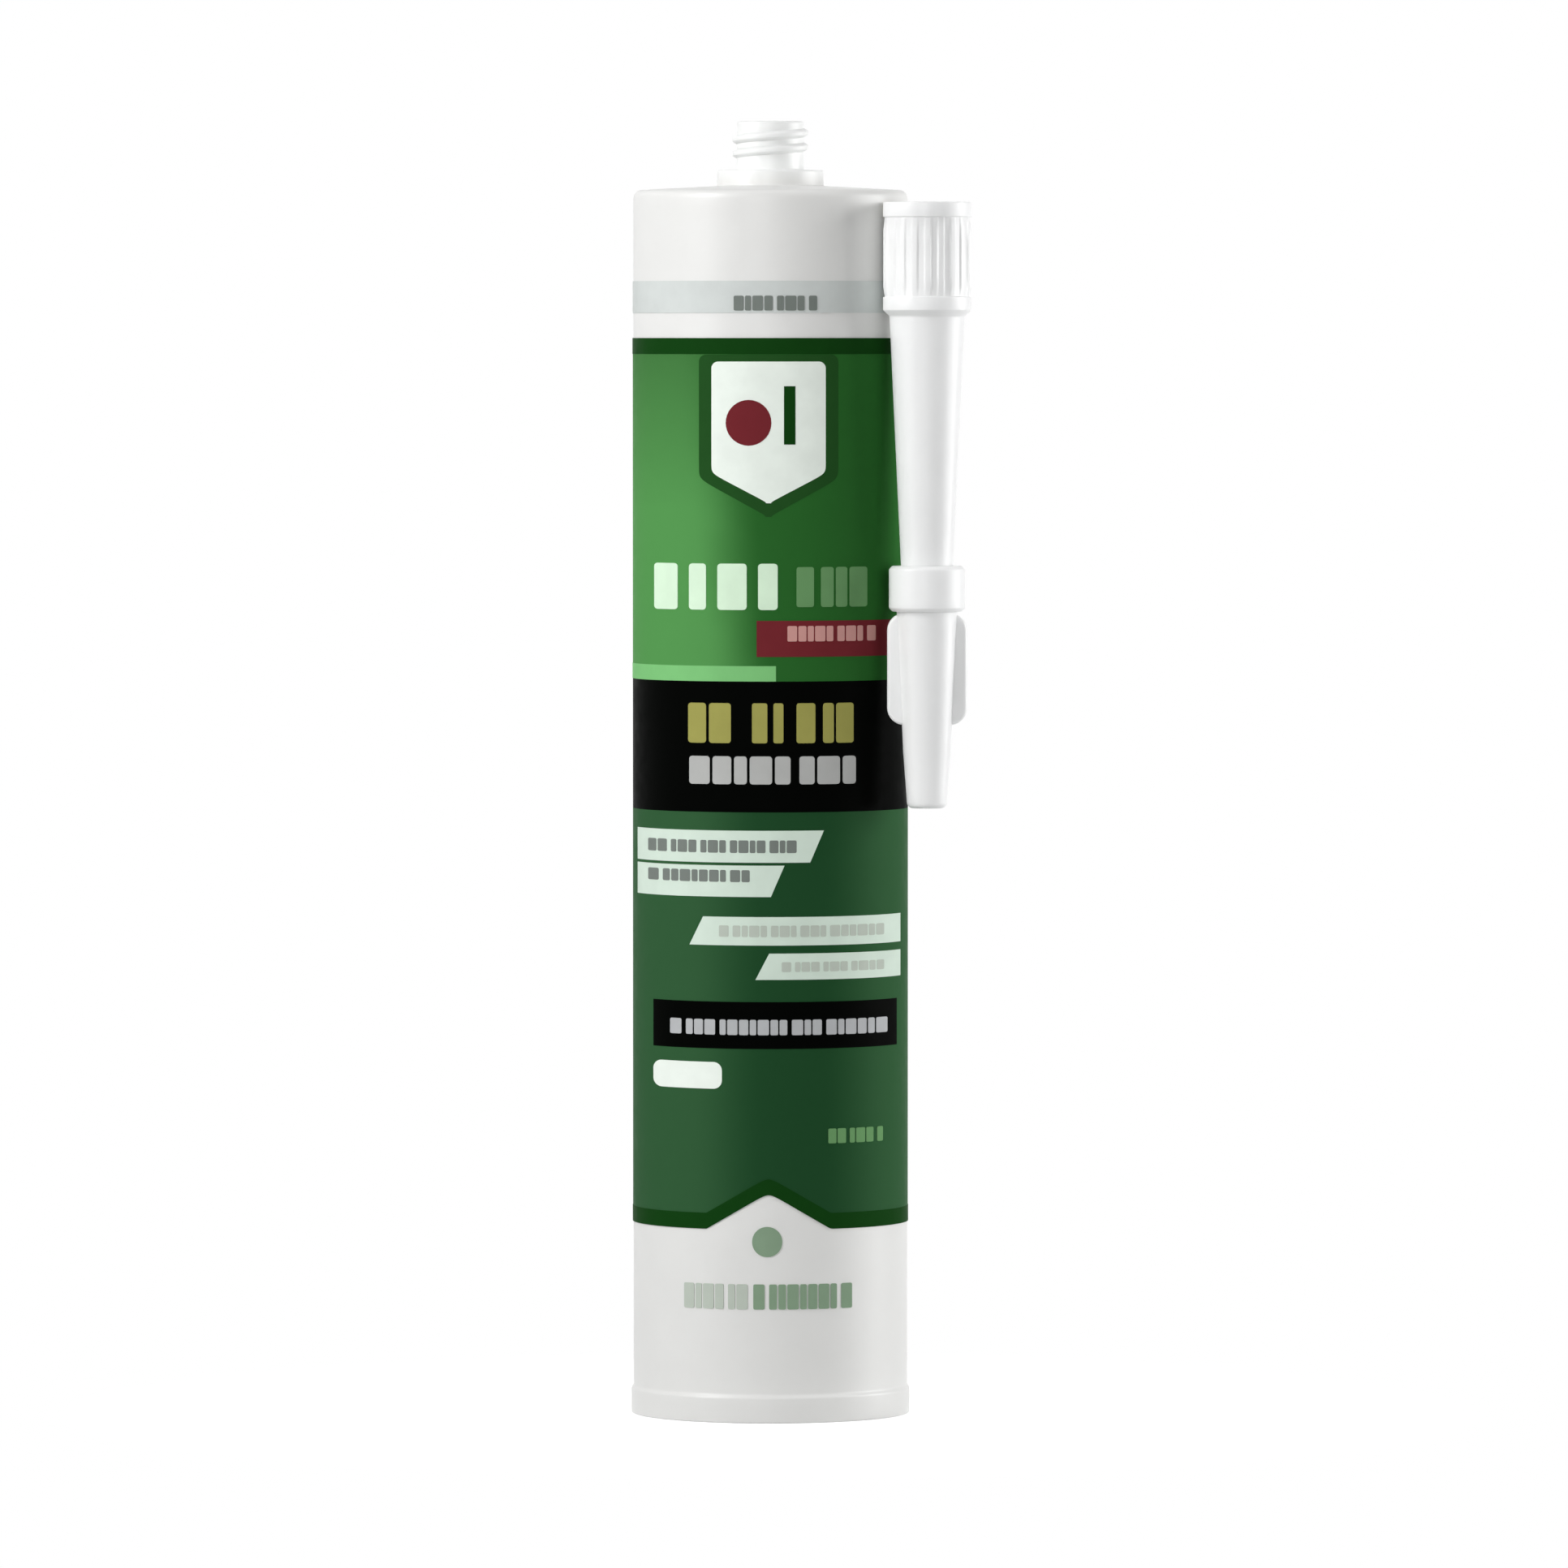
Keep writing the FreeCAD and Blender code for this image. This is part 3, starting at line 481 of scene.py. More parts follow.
def ink(name, base=None, roughness=0.42, shade=None):
    """Offset ink cured on polyethylene: a closed satin film that throws little back, so its colour stays
    deep, with a slight unevenness over a few millimetres. shade(tree, place) gives a colour that changes."""
    material, tree, place = new_material(name)
    surface = node(tree, "ShaderNodeBsdfPrincipled", {
        "Base Color": shade(tree, place) if shade else mottled(tree, place, base, 4.0, 0.03),
        "IOR": 1.5,
        "Specular IOR Level": 0.006,
        "Roughness": uneven_roughness(tree, place, 2.5, roughness),
        "Normal": peel(tree, place, 1.4, 0.012, 0.3),
    })
    node(tree, "ShaderNodeOutputMaterial", {"Surface": surface.outputs["BSDF"]})
    return material


def across_green(tree, place):
    """The lower field's colour by its place across the front: deep green down its middle, a little lighter
    towards both sides.
    """
    tone = colours()
    x = node(tree, "ShaderNodeSeparateXYZ", {"Vector": place}).outputs["X"]
    offset = node(tree, "ShaderNodeMath", {"operation": "SUBTRACT", 0: x, 1: 4 * MM})
    away = node(tree, "ShaderNodeMath", {"operation": "ABSOLUTE", 0: offset.outputs["Value"]})
    fade = node(tree, "ShaderNodeMapRange", {
        "interpolation_type": "SMOOTHSTEP",
        "From Min": 5 * MM,
        "From Max": 18 * MM,
        "Value": away.outputs["Value"],
    })
    return node(tree, "ShaderNodeMix", {
        "data_type": "RGBA",
        0: fade.outputs["Result"],
        6: (*tone.deep_green, 1),
        7: (*tone.side_green, 1),
    }).outputs[2]


def faded_and_painted_lit_green(tree, place):
    """The upper field's colour, partly a printed fade and partly painted light from the left: bright at its
    lower left, where the painted light falls, and darker towards the top. It turns to mid green where
    x + 0.1 (z - middle) passes an edge, which wanders with a broad noise."""
    tone = colours()
    low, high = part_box("green_upper")
    middle = (low.z + high.z) / 2
    parts = node(tree, "ShaderNodeSeparateXYZ", {"Vector": place}).outputs
    lean = node(tree, "ShaderNodeMath", {
        "operation": "MULTIPLY_ADD",
        0: parts["Z"],
        1: 0.1,
        2: -0.1 * middle,
    })
    slanted = node(tree, "ShaderNodeMath", {"operation": "ADD", 0: parts["X"], 1: lean.outputs["Value"]})
    cloud = node(tree, "ShaderNodeTexNoise", {"Scale": 1 / (22 * MM), "Detail": 2.0, "Vector": place})
    drift = node(tree, "ShaderNodeMath", {
        "operation": "MULTIPLY_ADD",
        0: cloud.outputs["Fac"],
        1: 5 * MM,
        2: -2.5 * MM,
    })
    edge = node(tree, "ShaderNodeMath", {
        "operation": "ADD",
        0: slanted.outputs["Value"],
        1: drift.outputs["Value"],
    })
    # The fade from bright to mid green is partly print and partly painted light from the left
    fade = node(tree, "ShaderNodeMapRange", {
        "interpolation_type": "SMOOTHSTEP",
        "From Min": -14 * MM,
        "From Max": -2 * MM,
        "Value": edge.outputs["Value"],
    })
    dim = node(tree, "ShaderNodeMapRange", {
        "From Min": middle,
        "From Max": high.z,
        "To Min": 1.0,
        "To Max": 0.58,
        "Value": parts["Z"],
    })
    painted_lit_bright = node(tree, "ShaderNodeVectorMath", {
        "operation": "SCALE",
        0: tone.bright_and_painted_lit_green,
        "Scale": dim.outputs["Result"],
    })
    return node(tree, "ShaderNodeMix", {
        "data_type": "RGBA",
        0: fade.outputs["Result"],
        6: painted_lit_bright.outputs["Vector"],
        7: (*tone.mid_green, 1),
    }).outputs[2]


# Pieces of the cartridge

def head_heights():
    """Heights of the head's top, the collar's top and the neck's top."""
    tube = sizes()
    head = tube.body_length + tube.head_rise
    collar = head + tube.collar_height
    return head, collar, collar + tube.neck_length


def cartridge_shell():
    """Turned skin of the barrel, rim, head, collar and closed neck, from the neck's top round to inside."""
    tube = sizes()
    head, collar, neck = head_heights()
    bore = tube.barrel_radius - tube.barrel_wall
    rim, rim_bore = tube.barrel_radius + tube.rim_step, bore + tube.rim_step
    rim_top = tube.rim_height - tube.rim_lead
    fine = 0.25 * MM
    path = softened([
        (0, neck - tube.gate_depth, 0),
        (tube.gate_radius, neck - tube.gate_depth, fine),
        (tube.gate_radius + tube.gate_depth, neck, fine / 2),
        (tube.neck_radius, neck, 2 * fine),
        (tube.neck_radius, collar, fine),
        (tube.collar_radius, collar, 2 * fine),
        (tube.collar_radius, head, fine),
        (tube.barrel_radius, tube.body_length, tube.head_round),
        (tube.barrel_radius, tube.rim_height, fine),
        (rim, rim_top, fine),
        (rim, 0, fine),
        (rim_bore, 0, fine),
        (rim_bore, rim_top, fine),
        (bore, tube.rim_height, fine),
        (bore, tube.body_length - tube.head_wall, 2 * fine),
        (tube.neck_bore, head - tube.head_wall, fine),
        (tube.neck_bore, neck - tube.membrane, fine),
        (0, neck - tube.membrane, 0),
    ])
    return turned(spaced(path, step=2.5 * MM), segments=192)


def ridge(sunk, root, crest, wide, narrow, soft):
    """A thread's section: a trapezium with soft edges at its crest, on a foot that is sunk in the wall."""
    flank = (wide - narrow) / 2
    return softened([
        (sunk, 0, 0),
        (root, 0, 0),
        (crest, flank, soft),
        (crest, wide - flank, soft),
        (root, wide, 0),
        (sunk, wide, 0),
    ], 4)


def thread_shell():
    """The ridge round the neck."""
    tube = sizes()
    _, collar, _ = head_heights()
    sunk = tube.neck_radius - tube.thread_depth / 3
    crest = tube.neck_radius + tube.thread_depth
    section = ridge(sunk, tube.neck_radius, crest, tube.thread_root, tube.thread_crest, 0.15 * MM)
    rise = tube.neck_length - 2 * tube.thread_margin - tube.thread_root
    return wound(section, collar + tube.thread_margin, rise, tube.thread_pitch, sunk)


def piston_shells():
    """Turned cup with a lip at each end and a boss, and upright ribs between the boss and the skirt, whose
    ends are sunk in both."""
    part = piston_sizes()
    radius = sizes().barrel_radius - sizes().barrel_wall - part.clearance
    waist = radius - part.waist_step
    inside = waist - part.skirt
    rear, front = PISTON_LOW.z, PISTON_HIGH.z
    back = front - part.front_wall
    soft = 0.2 * MM
    path = softened([
        (0, front, 0),
        (radius - part.edge, front, soft),
        (radius, front - part.edge, soft),
        (radius, front - part.lip, soft),
        (waist, front - part.lip - part.waist_step, soft),
        (waist, rear + part.lip + part.waist_step, soft),
        (radius, rear + part.lip, soft),
        (radius, rear + part.waist_step, soft),
        (radius - part.waist_step / 2, rear, soft),
        (inside, rear, soft),
        (inside, back, 3 * soft),
        (part.boss_radius, back, 2 * soft),
        (part.boss_radius, back - part.boss_depth, soft),
        (0, back - part.boss_depth, 0),
    ])
    shells = [turned(spaced(path, step=2 * MM), segments=160)]
    inner, outer = 0.8 * part.boss_radius, inside + part.skirt / 2
    along = np.array([inner, inner, outer, outer])
    side = np.array([-1, 1, 1, -1]) * part.rib_width / 2
    for turn in np.arange(part.rib_count) * 2 * np.pi / part.rib_count:
        x = along * np.cos(turn) - side * np.sin(turn)
        y = along * np.sin(turn) + side * np.cos(turn)
        shells.append(lofted(np.stack([np.column_stack([x, y, np.full(4, level)])
                                       for level in (back - part.rib_depth, back + part.front_wall / 2)])))
    return merged(shells)


def sealant_shell():
    """The filling, from the piston's front to the head and up the neck, just clear of the walls."""
    tube, clear = sizes(), 0.02 * MM
    head, _, _ = head_heights()
    bore = tube.barrel_radius - tube.barrel_wall - clear
    neck_bore = tube.neck_bore - clear
    path = np.array([
        (0, SEALANT_HIGH.z),
        (neck_bore, SEALANT_HIGH.z),
        (neck_bore, head - tube.head_wall),
        (bore, tube.body_length - tube.head_wall),
        (bore, SEALANT_LOW.z),
        (0, SEALANT_LOW.z),
    ])
    return turned(spaced(path, step=6 * MM), segments=96)


# Pieces of the print

# The layers, from the barrel outwards, how far each stands over the one below, the middle of the badge
# and peak, and where the strips end towards the sides, as shares of the way to the edge
FIELD, SHADE, PATCH, MARK = range(4)
PRINT_LIFT = 0.03 * MM
PRINT_MIDDLE = -0.3 * MM
STRIP_LEFT_END = -0.96
STRIP_RIGHT_END = 0.94


def print_edge():
    """The radius of the print's outer face, and so how far it reaches to each side seen from the front."""
    return sizes().barrel_radius + print_sizes().thickness


def print_radii(layer):
    """Outer and inner radius of a skin. Fields, shades, patches and marks lie over each other in steps of
    PRINT_LIFT, all within the print's thickness."""
    return print_edge() - (MARK - layer) * PRINT_LIFT, sizes().barrel_radius


def angle_of(x):
    """The angle from the front of a place x across the barrel, as seen from the front."""
    return np.arcsin(np.clip(x / print_edge(), -1, 1))


def span(left, right, columns):
    """Angles from left to right in even steps, row by row."""
    share = np.linspace(0, 1, columns)[None, :]
    return left[:, None] * (1 - share) + right[:, None] * share


def field(bottom, top, layer=FIELD, foot=None, parallel=False):
    """A colour field right round the barrel but for the seam. foot(x) lifts its lower edge, and the upper
    one too if they are parallel."""
    half = np.pi - print_sizes().seam / 2
    angle = np.linspace(-half, half, 361)
    lift = 0 * angle
    if foot is not None:
        lift = np.where(np.abs(angle) < np.pi / 2, foot(sizes().barrel_radius * np.sin(angle)), 0)
    share = np.linspace(0, 1, max(2, int((top - bottom) / (4 * MM))))[:, None]
    heights = (bottom + lift) * (1 - share) + (top + lift * parallel) * share
    return skin(angle + 0 * heights, heights, *print_radii(layer))


def rounding(radius):
    """Heights over an edge of its round corner's points, y = r (1 - cos a), more of them if it is large."""
    if radius == 0:
        return np.zeros(1)
    steps = 4 if radius < 0.6 * MM else 10
    return radius * (1 - np.cos(np.linspace(0, np.pi / 2, steps)))


def levels(bottom, top, low_round, high_round, gap=4 * MM):
    """Heights from bottom to top, closer together in the rounded ends."""
    low, high = bottom + rounding(low_round), top - rounding(high_round)[::-1]
    between = np.linspace(low[-1], high[0], 2 + int((high[0] - low[-1]) / gap))[1:-1]
    return np.concatenate([low, between, high])


def corner_inset(reach, radius):
    """How far a side moves in at a distance from the edge: r - sqrt(r^2 - (r - y)^2) up to y = r."""
    dip = np.clip(radius - reach, 0, radius)
    return radius - np.sqrt(radius ** 2 - dip ** 2)


def patch(left, right, bottom, top, layer=PATCH, corner=0.0, left_slant=0.0, right_slant=0.0):
    """A patch on the front from x = left to right and z = bottom to top. Its corners may be round, and its
    ends may lean."""
    height = levels(bottom, top, corner, corner, 1 * MM if left_slant or right_slant else 4 * MM)
    share = (height - bottom) / (top - bottom)
    inset = np.maximum(corner_inset(height - bottom, corner), corner_inset(top - height, corner))
    start = angle_of(left + left_slant * share + inset)
    end = angle_of(right + right_slant * share - inset)
    columns = max(2, int(np.degrees(end.max() - start.min()) / 1.5) + 1)
    angles = span(start, end, columns)
    return skin(angles, height[:, None] + 0 * angles, *print_radii(layer))


def marks(left, right, bottom, top, count, phase, gap=0.16, layer=MARK):
    """A line of plain printed blocks: count of them between left and right, whose widths vary by a sine of
    their number, and a wider gap after each block where a second sine is high."""
    number = np.arange(count)
    width = 1 + 0.3 * np.sin(2.3 * number + phase)
    space = np.where(np.sin(1.9 * number + phase) > 0.72, 3.2 * gap, gap)
    space[-1] = 0
    whole = (width + space).sum()
    start = left + (right - left) * np.concatenate([[0], np.cumsum(width + space)[:-1]]) / whole
    end = start + (right - left) * width / whole
    corner = 0.16 * min(top - bottom, (right - left) / (count * (1 + gap)))
    return [patch(*sides, bottom, top, layer, corner) for sides in zip(start, end)]


def shield(left, right, bottom, top, point, layer=PATCH):
    """A patch with a flat top, upright sides and a blunt point of the given height at its foot, where the
    half width is w (y/h) with a soft bend at the tip and at the sides."""
    corner, soft_side, soft_tip = print_sizes().badge_round, 0.06, 0.04
    bend = bottom + 1.6 * point
    height = np.concatenate([np.linspace(bottom, bend, 36)[:-1], levels(bend, top, 0, corner)])
    rise = (height - bottom) / point
    open_share = rise - soft_side * np.log1p(np.exp((rise - 1) / soft_side))
    open_share = np.sqrt(open_share ** 2 + soft_tip ** 2)
    middle, half = (left + right) / 2, (right - left) / 2
    reach = half * open_share - corner_inset(top - height, corner)
    angles = span(angle_of(middle - reach), angle_of(middle + reach), 33)
    return skin(angles, height[:, None] + 0 * angles, *print_radii(layer))


def from_box(name):
    """Left, right, bottom and top of a print node as seen from the front."""
    low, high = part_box(name)
    return low.x, high.x, low.z, high.z


def peak_foot(x):
    """The bare peak in the lower field: height h (1 - |x - m|/w), with a soft tip."""
    part = print_sizes()
    away = np.sqrt((x - PRINT_MIDDLE) ** 2 + part.peak_soft ** 2)
    return part.peak_height * np.clip(1 - away / part.peak_half, 0, 1)


# Pieces of the nozzle and cap, drawn from the mouth at 0 to the tip, then turned upside down

def hung(path):
    """A path measured from the nozzle's mouth, turned upside down to its height beside the barrel."""
    return np.column_stack([path[:, 0], NOZZLE_HIGH.z - path[:, 1]])


def cone_radius(distance):
    """Outer radius of the nozzle's cone at a distance from its mouth: it falls evenly from base to tip."""
    part = nozzle_sizes()
    total = NOZZLE_HIGH.z - NOZZLE_LOW.z
    taper = (part.cone_radius - part.tip_radius) / (total - part.base_length - part.step)
    return part.tip_radius + (total - distance) * taper


def nozzle_shell():
    """Turned skin of the nozzle, inside and outside. Between its two rings the base carries grip ribs:
    r grows by most of their depth times a rounded square wave of the angle, so they stay behind the rings."""
    part = nozzle_sizes()
    total = NOZZLE_HIGH.z - NOZZLE_LOW.z
    base = (NOZZLE_HIGH.x - NOZZLE_LOW.x) / 2
    root = base - part.rib_depth
    ring_end, ribs_end = part.ring_height, part.base_length - part.ring_height
    fine = 0.12 * MM
    path = softened([
        (part.socket_radius, 0, fine),
        (base, 0, 2 * fine),
        (base, ring_end, fine),
        (root, ring_end, fine),
        (root, ribs_end, fine),
        (base, ribs_end, fine),
        (base, part.base_length - part.rib_depth, fine),
        (root, part.base_length, fine),
        (part.cone_radius, part.base_length + part.step, 2 * fine),
        (part.tip_radius, total, 2 * fine),
        (part.tip_radius - part.wall, total, 2 * fine),
        (part.cone_radius - part.wall, part.base_length + 2 * part.step, 2 * fine),
        (part.throat_radius, part.throat_end, 2 * fine),
        (part.throat_radius, part.socket_depth + part.step, 2 * fine),
        (part.socket_radius, part.socket_depth, 2 * fine),
    ], 5)
    path = hung(spaced(path, step=2 * MM))
    top, bottom = NOZZLE_HIGH.z - ring_end - fine, NOZZLE_HIGH.z - ribs_end + fine

    def ribs(angle, radius, height):
        wave = np.clip(0.5 + 1.6 * np.cos(part.rib_count * angle), 0, 1)
        ribbed = (height < top) & (height > bottom) & (radius > root - fine)
        return np.where(ribbed, 0.83 * part.rib_depth * wave * wave * (3 - 2 * wave), 0)

    return turned(path, 16 * part.rib_count, NOZZLE_AXIS, ribs)


def socket_thread_shell():
    """The ridge inside the nozzle's mouth."""
    part = nozzle_sizes()
    sunk = part.socket_radius + part.rib_depth
    crest = part.socket_radius - part.thread_depth
    section = ridge(sunk, part.socket_radius, crest, part.thread_root, part.thread_crest, 0.12 * MM)
    start = NOZZLE_HIGH.z - part.thread_start - part.thread_rise - part.thread_root
    return wound(section, start, part.thread_rise, sizes().thread_pitch, sunk, NOZZLE_AXIS)


def cap_shell():
    """Turned skin of the cap: collar, sleeve and closed stem outside, conical socket inside."""
    part = nozzle_sizes()
    total = NOZZLE_HIGH.z - NOZZLE_LOW.z
    mouth, end = NOZZLE_HIGH.z - CAP_HIGH.z, NOZZLE_HIGH.z - CAP_LOW.z
    collar_end = mouth + part.cap_collar_length
    socket_end = total + part.cap_tip_gap
    sleeve = part.cap_clearance + part.cap_wall
    edge, fine = part.cap_edge, 0.2 * MM
    gate, dimple = sizes().gate_radius, sizes().gate_depth
    path = softened([
        (0, end - dimple, 0),
        (gate, end - dimple, fine),
        (gate + dimple, end, fine / 2),
        (part.cap_stem_radius - edge, end, 2 * fine),
        (part.cap_stem_radius, end - edge, 2 * fine),
        (part.tip_radius + sleeve, total, 2 * fine),
        (cone_radius(collar_end) + sleeve, collar_end, fine),
        (part.cap_collar_radius - edge, collar_end, fine),
        (part.cap_collar_radius, collar_end - edge, fine),
        (part.cap_collar_radius, mouth + edge, fine),
        (part.cap_collar_radius - edge, mouth, fine),
        (cone_radius(mouth) + part.cap_clearance, mouth, fine),
        (cone_radius(socket_end) + part.cap_clearance, socket_end, fine),
        (0, socket_end, 0),
    ])
    return turned(hung(spaced(path, step=1.5 * MM)), segments=128, axis=NOZZLE_AXIS)


def wing_shell():
    """The cap's two wings: one plate through its sleeve, a rounded rectangle whose faces roll off at the
    edge. Each loop is the outline x = +-(w/2 - i - c) + c cos a, z = +-(l/2 - i - c) + c sin a, where c is
    the corner's radius less i, and i grows from 0 in the plate's middle to 1.4 of the roll on its faces."""
    part = nozzle_sizes()
    start = NOZZLE_HIGH.z - CAP_HIGH.z + part.cap_collar_length + part.wing_gap
    middle = NOZZLE_HIGH.z - start - part.wing_length / 2
    half_x, half_z, corner, roll = part.wing_span / 2, part.wing_length / 2, part.wing_round, 0.45 * MM
    depth = np.array([-1, -1, -0.95, -0.8, -0.55, 0.55, 0.8, 0.95, 1, 1]) * part.wing_thickness / 2
    inward = roll * np.array([1.4, 1, 0.6, 0.2, 0, 0, 0.2, 0.6, 1, 1.4])
    quarter = np.linspace(0, np.pi / 2, 9)
    angle = np.concatenate([quarter + turn * np.pi / 2 for turn in range(4)])
    side_x = np.repeat([1, -1, -1, 1], len(quarter))
    side_z = np.repeat([1, 1, -1, -1], len(quarter))
    round_now = np.maximum(corner - inward, 0.1 * MM)[:, None]
    x = side_x * (half_x - inward[:, None] - round_now) + round_now * np.cos(angle)
    z = side_z * (half_z - inward[:, None] - round_now) + round_now * np.sin(angle)
    y = depth[:, None] + 0 * x
    loops = np.stack([NOZZLE_AXIS[0] + x, NOZZLE_AXIS[1] + y, middle + z], axis=2)
    return lofted(loops)


# Operators, one for each piece or group

class CAULK_OT_cartridge(Operator):
    """Makes the moulded barrel with its head and threaded neck"""
    bl_idname = "caulk.cartridge"
    bl_label = "Cartridge"

    def execute(self, context):
        tone, (head, _, _) = colours(), head_heights()
        # The neck's paler tint is painted light, standing in for light through its thin wall
        white = polyethylene("white_hdpe_moulded", tone.barrel, milkiness=0.12, roughness=0.36, ripple=1.1,
                             pale=tone.neck, painted_pale_from=head)
        finished("cartridge_moulding", cartridge_shell(), white, "cartridge")
        finished("neck_thread", thread_shell(), white)
        return {"FINISHED"}


class CAULK_OT_filling(Operator):
    """Makes the piston, the sealant and the glue dots"""
    bl_idname = "caulk.filling"
    bl_label = "Piston and filling"

    def execute(self, context):
        tone = colours()
        natural = polyethylene("natural_ldpe_moulded", tone.piston, milkiness=0.3, roughness=0.42, ripple=1.6)
        finished("piston_cup", piston_shells(), natural, "piston", body="plunger")
        # Silicone paste, pressed in by a filling machine: one even, opaque mass with hardly any gloss
        paste = ink("silicone_paste", tone.sealant, roughness=0.45)
        filling = finished("sealant_filling", sealant_shell(), paste, "sealant")
        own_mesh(filling)
        # Hot melt glue, laid on as hot drops that set: smooth, cloudy and yellowish
        glue = polyethylene("hot_melt_glue", tone.glue, milkiness=0.6, roughness=0.25, ripple=0.8)
        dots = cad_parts["hot_melt_dots"]
        dots.data.materials.clear()
        dots.data.materials.append(glue)
        return {"FINISHED"}


class CAULK_OT_print_fields(Operator):
    """Prints the bands and fields of colour round the barrel"""
    bl_idname = "caulk.print_fields"
    bl_label = "Print, fields"

    def execute(self, context):
        tone, edge_line = colours(), print_sizes().edge_line
        _, _, bottom, top = from_box("grey_band")
        finished("grey_band_print", field(bottom, top), ink("grey_ink", tone.grey), "grey_band")
        _, _, bottom, top = from_box("green_upper")
        # The upper field's fade is partly print and partly painted light from the left
        painted_lit_bright = ink("faded_and_painted_lit_green_ink", shade=faded_and_painted_lit_green)
        finished("upper_field_print", field(bottom, top), painted_lit_bright, "green_upper")
        line = ink("line_green_ink", tone.line_green)
        finished("upper_field_top_line", field(top - edge_line, top, PATCH), line)
        _, _, bottom, top = from_box("black_band")
        black = ink("black_ink", tone.black)
        finished("black_band_print", field(bottom, top), black, "black_band")
        _, _, bottom, top = from_box("green_lower")
        deep, lower = ink("deep_green_ink", shade=across_green), field(bottom, top, foot=peak_foot)
        finished("lower_field_print", lower, deep, "green_lower")
        foot_line = field(bottom, bottom + edge_line, PATCH, foot=peak_foot, parallel=True)
        finished("lower_field_foot_line", foot_line, line)
        return {"FINISHED"}


class CAULK_OT_print_patches(Operator):
    """Prints the badge, ribbon, strips, bar and panel on the front"""
    bl_idname = "caulk.print_patches"
    bl_label = "Print, patches"

    def execute(self, context):
        tone, part, side = colours(), print_sizes(), print_edge()
        white, red = ink("white_ink", tone.badge), ink("red_ink", tone.red)
        left, right, bottom, top = from_box("badge")
        shade = shield(left - part.shade_side, right + part.shade_side, bottom - part.shade_foot,
                       top + part.shade_top, part.shade_point, SHADE)
        finished("badge_shade", shade, ink("badge_shade_ink", tone.shade))
        badge = shield(left, right, bottom, top, part.badge_point)
        finished("badge_print", badge, white, "badge")
        left, right, bottom, top = from_box("badge_spot")
        spot = patch(left, right, bottom, top, MARK, corner=(top - bottom) / 2 - 0.01 * MM)
        finished("badge_spot_print", spot, red, "badge_spot")
        left, _, bottom, top = from_box("red_ribbon")
        finished("red_ribbon_print", patch(left, side, bottom, top), red, "red_ribbon")
        slant, pale = part.strip_slant, ink("pale_strip_ink", tone.strip)
        for name in ("upper_strip_long", "upper_strip_short"):
            _, right, bottom, top = from_box(name)
            strip = patch(STRIP_LEFT_END * side, right - slant, bottom, top, right_slant=slant)
            finished(name + "_print", strip, pale, name)
        for name in ("lower_strip_long", "lower_strip_short"):
            left, _, bottom, top = from_box(name)
            strip = patch(left, STRIP_RIGHT_END * side, bottom, top, left_slant=slant)
            finished(name + "_print", strip, pale, name)
        black = ink("bar_ink", tone.black)
        finished("black_bar_print", patch(*from_box("black_bar")), black, "black_bar")
        panel = patch(*from_box("code_box"), corner=part.panel_round)
        finished("code_box_print", panel, white, "code_box")
        return {"FINISHED"}


# Lines of plain printed marks, with the colour, the material slot and the layer of each piece. A line has
# its left, right, bottom and top in millimetres, its number of marks, the phase of their widths and, where
# it isn't the usual one, the gap between them.
MARK_LINES = {
    "title_marks": ("title", "white_ink", MARK, [(-20.4, 1.3, 142.5, 150.6, 4, 3.0, 0.5)]),
    "soft_title_marks": ("soft_title", "green_ink", MARK, [(4.6, 17.0, 143.0, 150.0, 4, 1.1)]),
    "ribbon_marks": ("pink", "white_ink", MARK, [(3.0, 18.5, 137.0, 139.7, 9, 0.8)]),
    "gold_marks": ("gold", "white_ink", MARK, [
        (-14.4, -6.9, 119.2, 126.2, 2, 0.0),
        (-3.2, 2.3, 119.2, 126.2, 2, 1.4),
        (4.6, 14.6, 119.2, 126.2, 3, 2.2),
    ]),
    "silver_marks": ("silver", "white_ink", MARK, [(-14.2, 15.0, 112.0, 116.9, 8, 0.6)]),
    "upper_strip_marks": ("grey_mark", "green_ink", MARK, [
        (-21.5, 4.6, 100.0, 102.2, 15, 0.2),
        (-21.5, -3.6, 94.9, 97.0, 10, 1.3),
    ]),
    "lower_strip_marks": ("soft_mark", "green_ink", MARK, [
        (-9.0, 20.0, 85.3, 87.3, 17, 0.9),
        (2.0, 20.0, 79.2, 80.9, 11, 2.1),
    ]),
    "bar_marks": ("dim_silver", "white_ink", MARK, [(-17.6, 20.6, 68.1, 70.8, 20, 1.7)]),
    "side_marks": ("soft_title", "green_ink", MARK, [(10.2, 19.8, 49.0, 51.6, 6, 0.3)]),
    "foot_marks": ("moss_mark", "green_ink", FIELD, [(-3.0, 14.4, 20.0, 24.4, 9, 1.2)]),
    "soft_foot_marks": ("soft_mark", "green_ink", FIELD, [(-15.2, -4.0, 20.0, 24.4, 6, 2.6)]),
    "band_marks": ("grey_mark", "green_ink", MARK, [(-6.4, 8.2, 194.8, 197.4, 8, 2.6)]),
}


